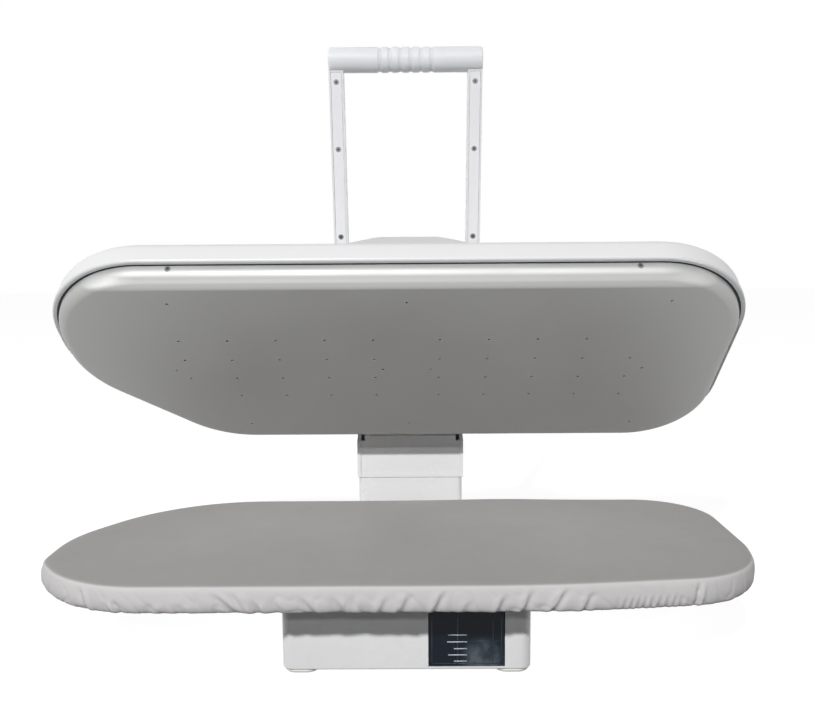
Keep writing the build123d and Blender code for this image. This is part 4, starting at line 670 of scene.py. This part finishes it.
def smoothed(loop, passes):
    """A closed loop with every point drawn towards its neighbours, pass after pass."""
    for _ in range(passes):
        loop = [
            (loop[i - 1] + loop[i] * 2 + loop[(i + 1) % len(loop)]) / 4
            for i in range(len(loop))
        ]
    return loop


def outward_of(loop):
    """The direction straight out of a closed loop at each of its points."""
    directions = []
    for i in range(len(loop)):
        along = loop[(i + 1) % len(loop)] - loop[i - 1]
        directions.append(Vector((along.y, -along.x)).normalized())
    return directions


cover_points = 1400
smoothing_passes = 30
cover_low, cover_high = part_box("board_cover")
cover_spots = [(round(v.co.x, 6), round(v.co.y, 6)) for v in nodes["board_cover"].data.vertices]
cover_outline = smoothed(even_loop(hull_of(cover_spots), cover_points), smoothing_passes)
cover_outward = outward_of(cover_outline)

# Board cover: silvery cotton pulled over the padded board and gathered under its edge, sizes in mm
cloth_thickness = 1.0
hem_z = cover_low[2] / mm + 0.3
side_height = 22.8
gathered_height = 20
outline_gap = 0.1
side_profile = [
    # height over the hem, and how far inside the outline
    (0.0, 17.0), (0.0, 11.0), (0.0, 7.2), (0.4, 4.9), (1.3, 3.3), (2.8, 2.2), (4.8, 1.4), (7.2, 0.9),
    (9.8, 0.7), (12.4, 0.8), (15.0, 1.0), (17.3, 1.3), (19.2, 1.8), (20.6, 2.6), (21.5, 4.0), (22.1, 6.4),
    (22.5, 10.4), (22.7, 17.0), (22.8, 25.0),
]

# The long folds on the front, each with a crest on one side and a hollow on the other
front_folds = [
    # x at the top edge, x at the hem, share of the height that it reaches, depth, width
    (-240, -235, 1.0, 0.9, 3.0), (-218, -211, 0.6, -1.1, 3.4), (-140, -118, 0.9, 0.9, 5.0),
    (-123, -113, 0.9, 0.9, 4.4), (-111, -102, 0.6, 0.8, 3.6), (-95, -88, 0.7, 0.6, 4.0),
    (-76, -61, 0.75, 0.8, 4.6), (-50, -40, 0.7, 0.7, 4.2), (-31, -34, 0.8, 0.5, 4.0),
    (-9, -16, 0.75, -0.8, 4.0), (8, -1, 0.85, -0.9, 4.4), (33, 24, 1.0, -0.9, 3.8),
    (54, 47, 0.6, -0.5, 4.0), (79, 72, 0.8, -0.8, 3.6), (98, 91, 1.0, -0.9, 3.6),
    (124, 112, 1.0, -1.0, 4.0), (144, 136, 0.8, -0.8, 3.6), (228, 225, 1.0, 1.0, 2.6),
    (-180, -184, 0.5, 0.5, 5.0), (-164, -158, 0.5, 0.5, 5.0),
]
fold_sharpness = 1.5
fold_boldness = 1.25
fold_limit = 4

fold_fade_from, fold_fade_to = 0.55, 1.05

# The fine pleats at the right end of the front
pleats_from, pleats_full_from = 158, 170
pleats_full_to, pleats_to = 209, 219
pleats_fade_from, pleats_fade_to = 0.3, 0.62
pleat_pitch = 5.6
pleat_depth = 0.5
pleat_lean = 4
pleat_wander, wanders_per_mm = 3, 0.05

# The gathers all round: how many to a metre, how deep, and how fast they fade towards the top
ripples_per_metre = 90
ripple_depth, ripple_fade = 0.8, 1.2
fine_ratio, fine_depth, fine_fade = 2.6, 0.4, 1.6
slow_ratio, slow_depth, slow_fade = 0.35, 0.5, 0.6
creases_per_metre = 75
crease_thinness, crease_depth, crease_fade = 5, 0.7, 0.5
crease_lean, crease_change = 0.9, 1.1

# How far inside the outline the folds and gathers begin to die out, and are gone
top_from, top_full = 6.5, 14

# The cover's larger bulges, and where along x the front sags and the rear puffs up
left_bulge = 1.2
front_sag, sag_from, sag_full = 0.9, 90, 150
rear_puff, puff_middle, puff_reach = 1.3, 95, 62
swells_per_metre = 14
swell_height, swell_drop = 0.2, 0.15


def eased(value, low, high):
    """Rises smoothly from 0 at low to 1 at high."""
    share = min(1.0, max(0.0, (value - low) / (high - low)))
    return share * share * (3 - 2 * share)


def between(path, steps):
    """A finer list of points on a smooth curve through the path's points."""
    finer = []
    for i in range(len(path) - 1):
        before = path[max(0, i - 1)]
        after = path[min(len(path) - 1, i + 2)]
        for step in range(steps):
            t = step / steps
            point = []
            for a, b, c, d in zip(before, path[i], path[i + 1], after):
                point.append(0.5 * (2 * b + (c - a) * t + (2 * a - 5 * b + 4 * c - d) * t * t
                                    + (3 * b - a - 3 * c + d) * t ** 3))
            finer.append(tuple(point))
    return finer + [path[-1]]


def fold_move(x, share):
    """How far the front folds push the cloth out at x, at a share of the side's height, in mm."""
    move = 0.0
    for top_x, hem_x, reach, depth, width in front_folds:
        off = (x - hem_x - (top_x - hem_x) * share) / width * fold_sharpness
        if abs(off) < fold_limit:
            fade = 1 - eased(share, reach * fold_fade_from, reach * fold_fade_to)
            move += depth * fold_boldness * off * math.exp(0.5 - off * off / 2) * fade
    inside = eased(x, pleats_from, pleats_full_from) * (1 - eased(x, pleats_full_to, pleats_to))
    wander = noise.noise(Vector((x * wanders_per_mm, 0, 9))) * pleat_wander
    pleat = math.sin((x + wander - share * pleat_lean) * 2 * math.pi / pleat_pitch)
    return move + pleat_depth * pleat * inside * (1 - eased(share, pleats_fade_from, pleats_fade_to))


def gather(x, y, share):
    """How far the gathers push the cloth out, in mm. Share is 0 at the hem and 1 at the top edge."""
    place = Vector((x * ripples_per_metre, y * ripples_per_metre, 0.37))
    ripple = noise.noise(place) * ripple_depth * (1 - share) ** ripple_fade
    fine = noise.noise(place * fine_ratio) * fine_depth * (1 - share) ** fine_fade
    slow = noise.noise(place * slow_ratio + Vector((0, 0, 3))) * slow_depth * (1 - slow_fade * share)
    leaning = x * creases_per_metre + share * crease_lean
    field = noise.noise(Vector((leaning, y * creases_per_metre, share * crease_change)))
    line = max(0.0, 1 - abs(field) * crease_thinness) ** 2
    crease = line * crease_depth * (1 - share) ** crease_fade
    return ripple + fine + slow - crease


def side_ring(work, height, inset):
    """One loop of points round the cover's side, moved by its folds, gathers and bulges.

    Each eased() lets one of these fade in with the side's direction, its height or its inset.
    """
    share = min(1.0, height / gathered_height)
    ring = []
    for point, outward in zip(cover_outline, cover_outward):
        x = point.x / mm
        front = eased(-outward.y, 0.25, 0.7)
        move = gather(point.x, point.y, share)
        move += fold_move(x, share) * front
        move += left_bulge * eased(-outward.x, 0.75, 1.0) * math.sin(math.pi * min(1.0, share + 0.1))
        move = min(move, inset - outline_gap) * (1 - eased(inset, top_from, top_full))
        sag = front_sag * eased(x, sag_from, sag_full) * front * (1 - eased(share, 0.1, 0.6))
        puff = rear_puff * math.exp(-((x - puff_middle) / puff_reach) ** 2)
        puff *= eased(outward.y, 0.4, 0.9) * eased(share, 0.5, 1.0) * (1 - eased(inset, 3, 9))
        spot = point - outward * (inset - move) * mm
        ring.append(work.verts.new((spot.x, spot.y, (hem_z + height - sag + puff) * mm)))
    return ring


def top_rings(work, side_end):
    """Loops from the end of the side in to the line along the middle of the top."""
    edge = [(Vector((v.co.x, v.co.y)), v.co.z) for v in side_end]
    cover_middle = (cover_low[1] + cover_high[1]) / 2
    cover_reach = (cover_high[1] - cover_low[1]) / 2
    left = cover_low[0] + cover_reach
    far = cover_high[0] - cover_reach
    top_z = (hem_z + side_height) * mm
    steps = 12
    spine_cell = 3 * mm
    spine_verts = {}
    rings = []
    for step in range(1, steps + 1):
        share = step / steps
        ring = []
        for point, edge_z in edge:
            spine = Vector((min(max(point.x, left), far), cover_middle))
            cell = round(spine.x / spine_cell)
            spine.x = cell * spine_cell
            spot = point.lerp(spine, share)
            place = Vector((spot.x * swells_per_metre, spot.y * swells_per_metre, 1.7))
            swell = noise.noise(place) * swell_height - swell_drop
            level = edge_z + (top_z - edge_z) * eased(share, 0.0, 0.5) + swell * min(1, share * 3) * mm
            if step < steps:
                ring.append(work.verts.new((spot.x, spot.y, level)))
                continue
            if cell not in spine_verts:
                spine_verts[cell] = work.verts.new((spot.x, spot.y, level))
            ring.append(spine_verts[cell])
        rings.append(ring)
    return rings


def make_board_cover():
    """The whole cover, from its gathered hem to the middle of its top."""
    work = bmesh.new()
    rings = [side_ring(work, height, inset) for height, inset in between(side_profile, 2)]
    rings += top_rings(work, rings[-1])
    for lower, upper in zip(rings, rings[1:]):
        for i in range(cover_points):
            j = (i + 1) % cover_points
            corners = [lower[i], lower[j], upper[j], upper[i]]
            if upper[i] is upper[j]:
                corners.pop()
            work.faces.new(corners)
    cover = piece_from("board_cover_cloth", work, "cover_cloth", "base")
    skin = cover.modifiers.new("thickness", "SOLIDIFY")
    skin.thickness = cloth_thickness * mm
    skin.offset = -1
    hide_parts("board_cover")


make_board_cover()


# Small marks, and painted shade in the screws' recesses, sizes in mm
def add_block(work, centre, across, along, sizes):
    """A small block in a worked mesh, from its centre, two of its axes and its three sizes."""
    turned = Matrix((across, along, across.cross(along))).transposed().to_4x4()
    scaled = Matrix.Diagonal((*[size * mm for size in sizes], 1))
    bmesh.ops.create_cube(work, size=1.0, matrix=Matrix.Translation(centre) @ turned @ scaled)


tank_corner = Vector((tank_low[0], tank_low[1] + 0.05 * mm, tank_low[2]))
tank_wide = (tank_high[0] - tank_low[0]) / mm
tank_tall = (tank_high[2] - tank_low[2]) / mm
tick_size = 0.9
tick_rise = 0.2
line_rise = 0.12
upright_margin = 2
tank_ticks = [
    # height over the tank's lower edge, start from its left edge, length
    (4.4, 20.6, 10.6), (9.7, 15.8, 15.4), (15.0, 20.6, 10.6), (20.8, 15.0, 16.4), (26.6, 15.8, 15.6),
]
tank_uprights = [
    # middle from the tank's left edge, width
    (2.6, 0.9), (tank_wide - 2.6, 0.9), (tank_wide - 9.5, 0.7), (23.6, 1.1),
]
tank_levels = [
    # height, start, length, thickness
    (2.4, 2.2, tank_wide - 4.4, 0.8), (21.4, 33.0, tank_wide - 36.0, 0.8),
]


def add_tank_bar(work, x, z, width, height, rise):
    """A flat bar on the tank's front, with its middle at x and z from the lower left corner."""
    add_block(work, tank_corner + Vector((x, 0, z)) * mm, x_axis, z_axis, (width, height, rise))


def make_tank_marks():
    """The printed level ticks and the moulded lines on the tank's front."""
    ticks = bmesh.new()
    for height, begin, length in tank_ticks:
        add_tank_bar(ticks, begin + length / 2, height, length, tick_size, tick_rise)
    piece_from("tank_ticks", ticks, "tank_mark", "tank")
    lines = bmesh.new()
    for x, width in tank_uprights:
        add_tank_bar(lines, x, tank_tall / 2, width, tank_tall - 2 * upright_margin, line_rise)
    for height, begin, length, thickness in tank_levels:
        add_tank_bar(lines, begin + length / 2, height, length, thickness, line_rise)
    piece_from("tank_lines", lines, "tank_line", "tank")


def screw_faces(node_name):
    """The centre and outward direction of every screw's largest flat that faces the camera."""
    work = bmesh.new()
    work.from_mesh(nodes[node_name].data)
    bmesh.ops.remove_doubles(work, verts=work.verts, dist=weld_gap)
    same_level = 0.1 * mm
    found = []
    met = set()
    for first in work.faces:
        if first in met:
            continue
        met.add(first)
        screw = [first]
        for face in screw:
            for edge in face.edges:
                for other in edge.link_faces:
                    if other not in met:
                        met.add(other)
                        screw.append(other)
        flats = {}
        for face in screw:
            if face.normal.dot(camera.location - face.calc_center_median()) > 0:
                facing = tuple(round(part, 1) for part in face.normal)
                flats.setdefault(facing, []).append(face)
        flat = max(flats.values(), key=lambda faces: sum(face.calc_area() for face in faces))
        spots = [vert.co for face in flat for vert in face.verts]
        outward = flat[0].normal.copy()
        reach = max(spot.dot(outward) for spot in spots)
        spots = [spot for spot in spots if spot.dot(outward) > reach - same_level]
        found.append((sum(spots, Vector()) / len(spots), outward))
    work.free()
    return found


recess_ratio = 0.28
recess_rise = 0.1
recess_sink = 0.02
first_turn = 0.3
next_turn = 0.7
nearly_sideways = 0.8


def make_painted_recess_shade(name, node_name, length, body):
    """Dark crosses of painted shade on the heads of a node's screws, where their recesses lie, each
    turned its own way.
    """
    work = bmesh.new()
    sizes = (length, length * recess_ratio, recess_rise)
    for number, (centre, outward) in enumerate(screw_faces(node_name)):
        across = outward.cross(x_axis if abs(outward.x) < nearly_sideways else z_axis).normalized()
        across.rotate(Matrix.Rotation(next_turn * number + first_turn, 3, outward))
        # Each cross is a thin dark block at the screw's face, painted shade for its recess
        for arm in (across, outward.cross(across)):
            add_block(work, centre - outward * recess_sink * mm, arm, outward.cross(arm), sizes)
    piece_from(name, work, "recess_dark", body)


make_tank_marks()
make_painted_recess_shade("handle_screw_recesses", "handle_screws", 2.6, "handle")
make_painted_recess_shade("plate_screw_recesses", "plate_screws", 2.2, "head")
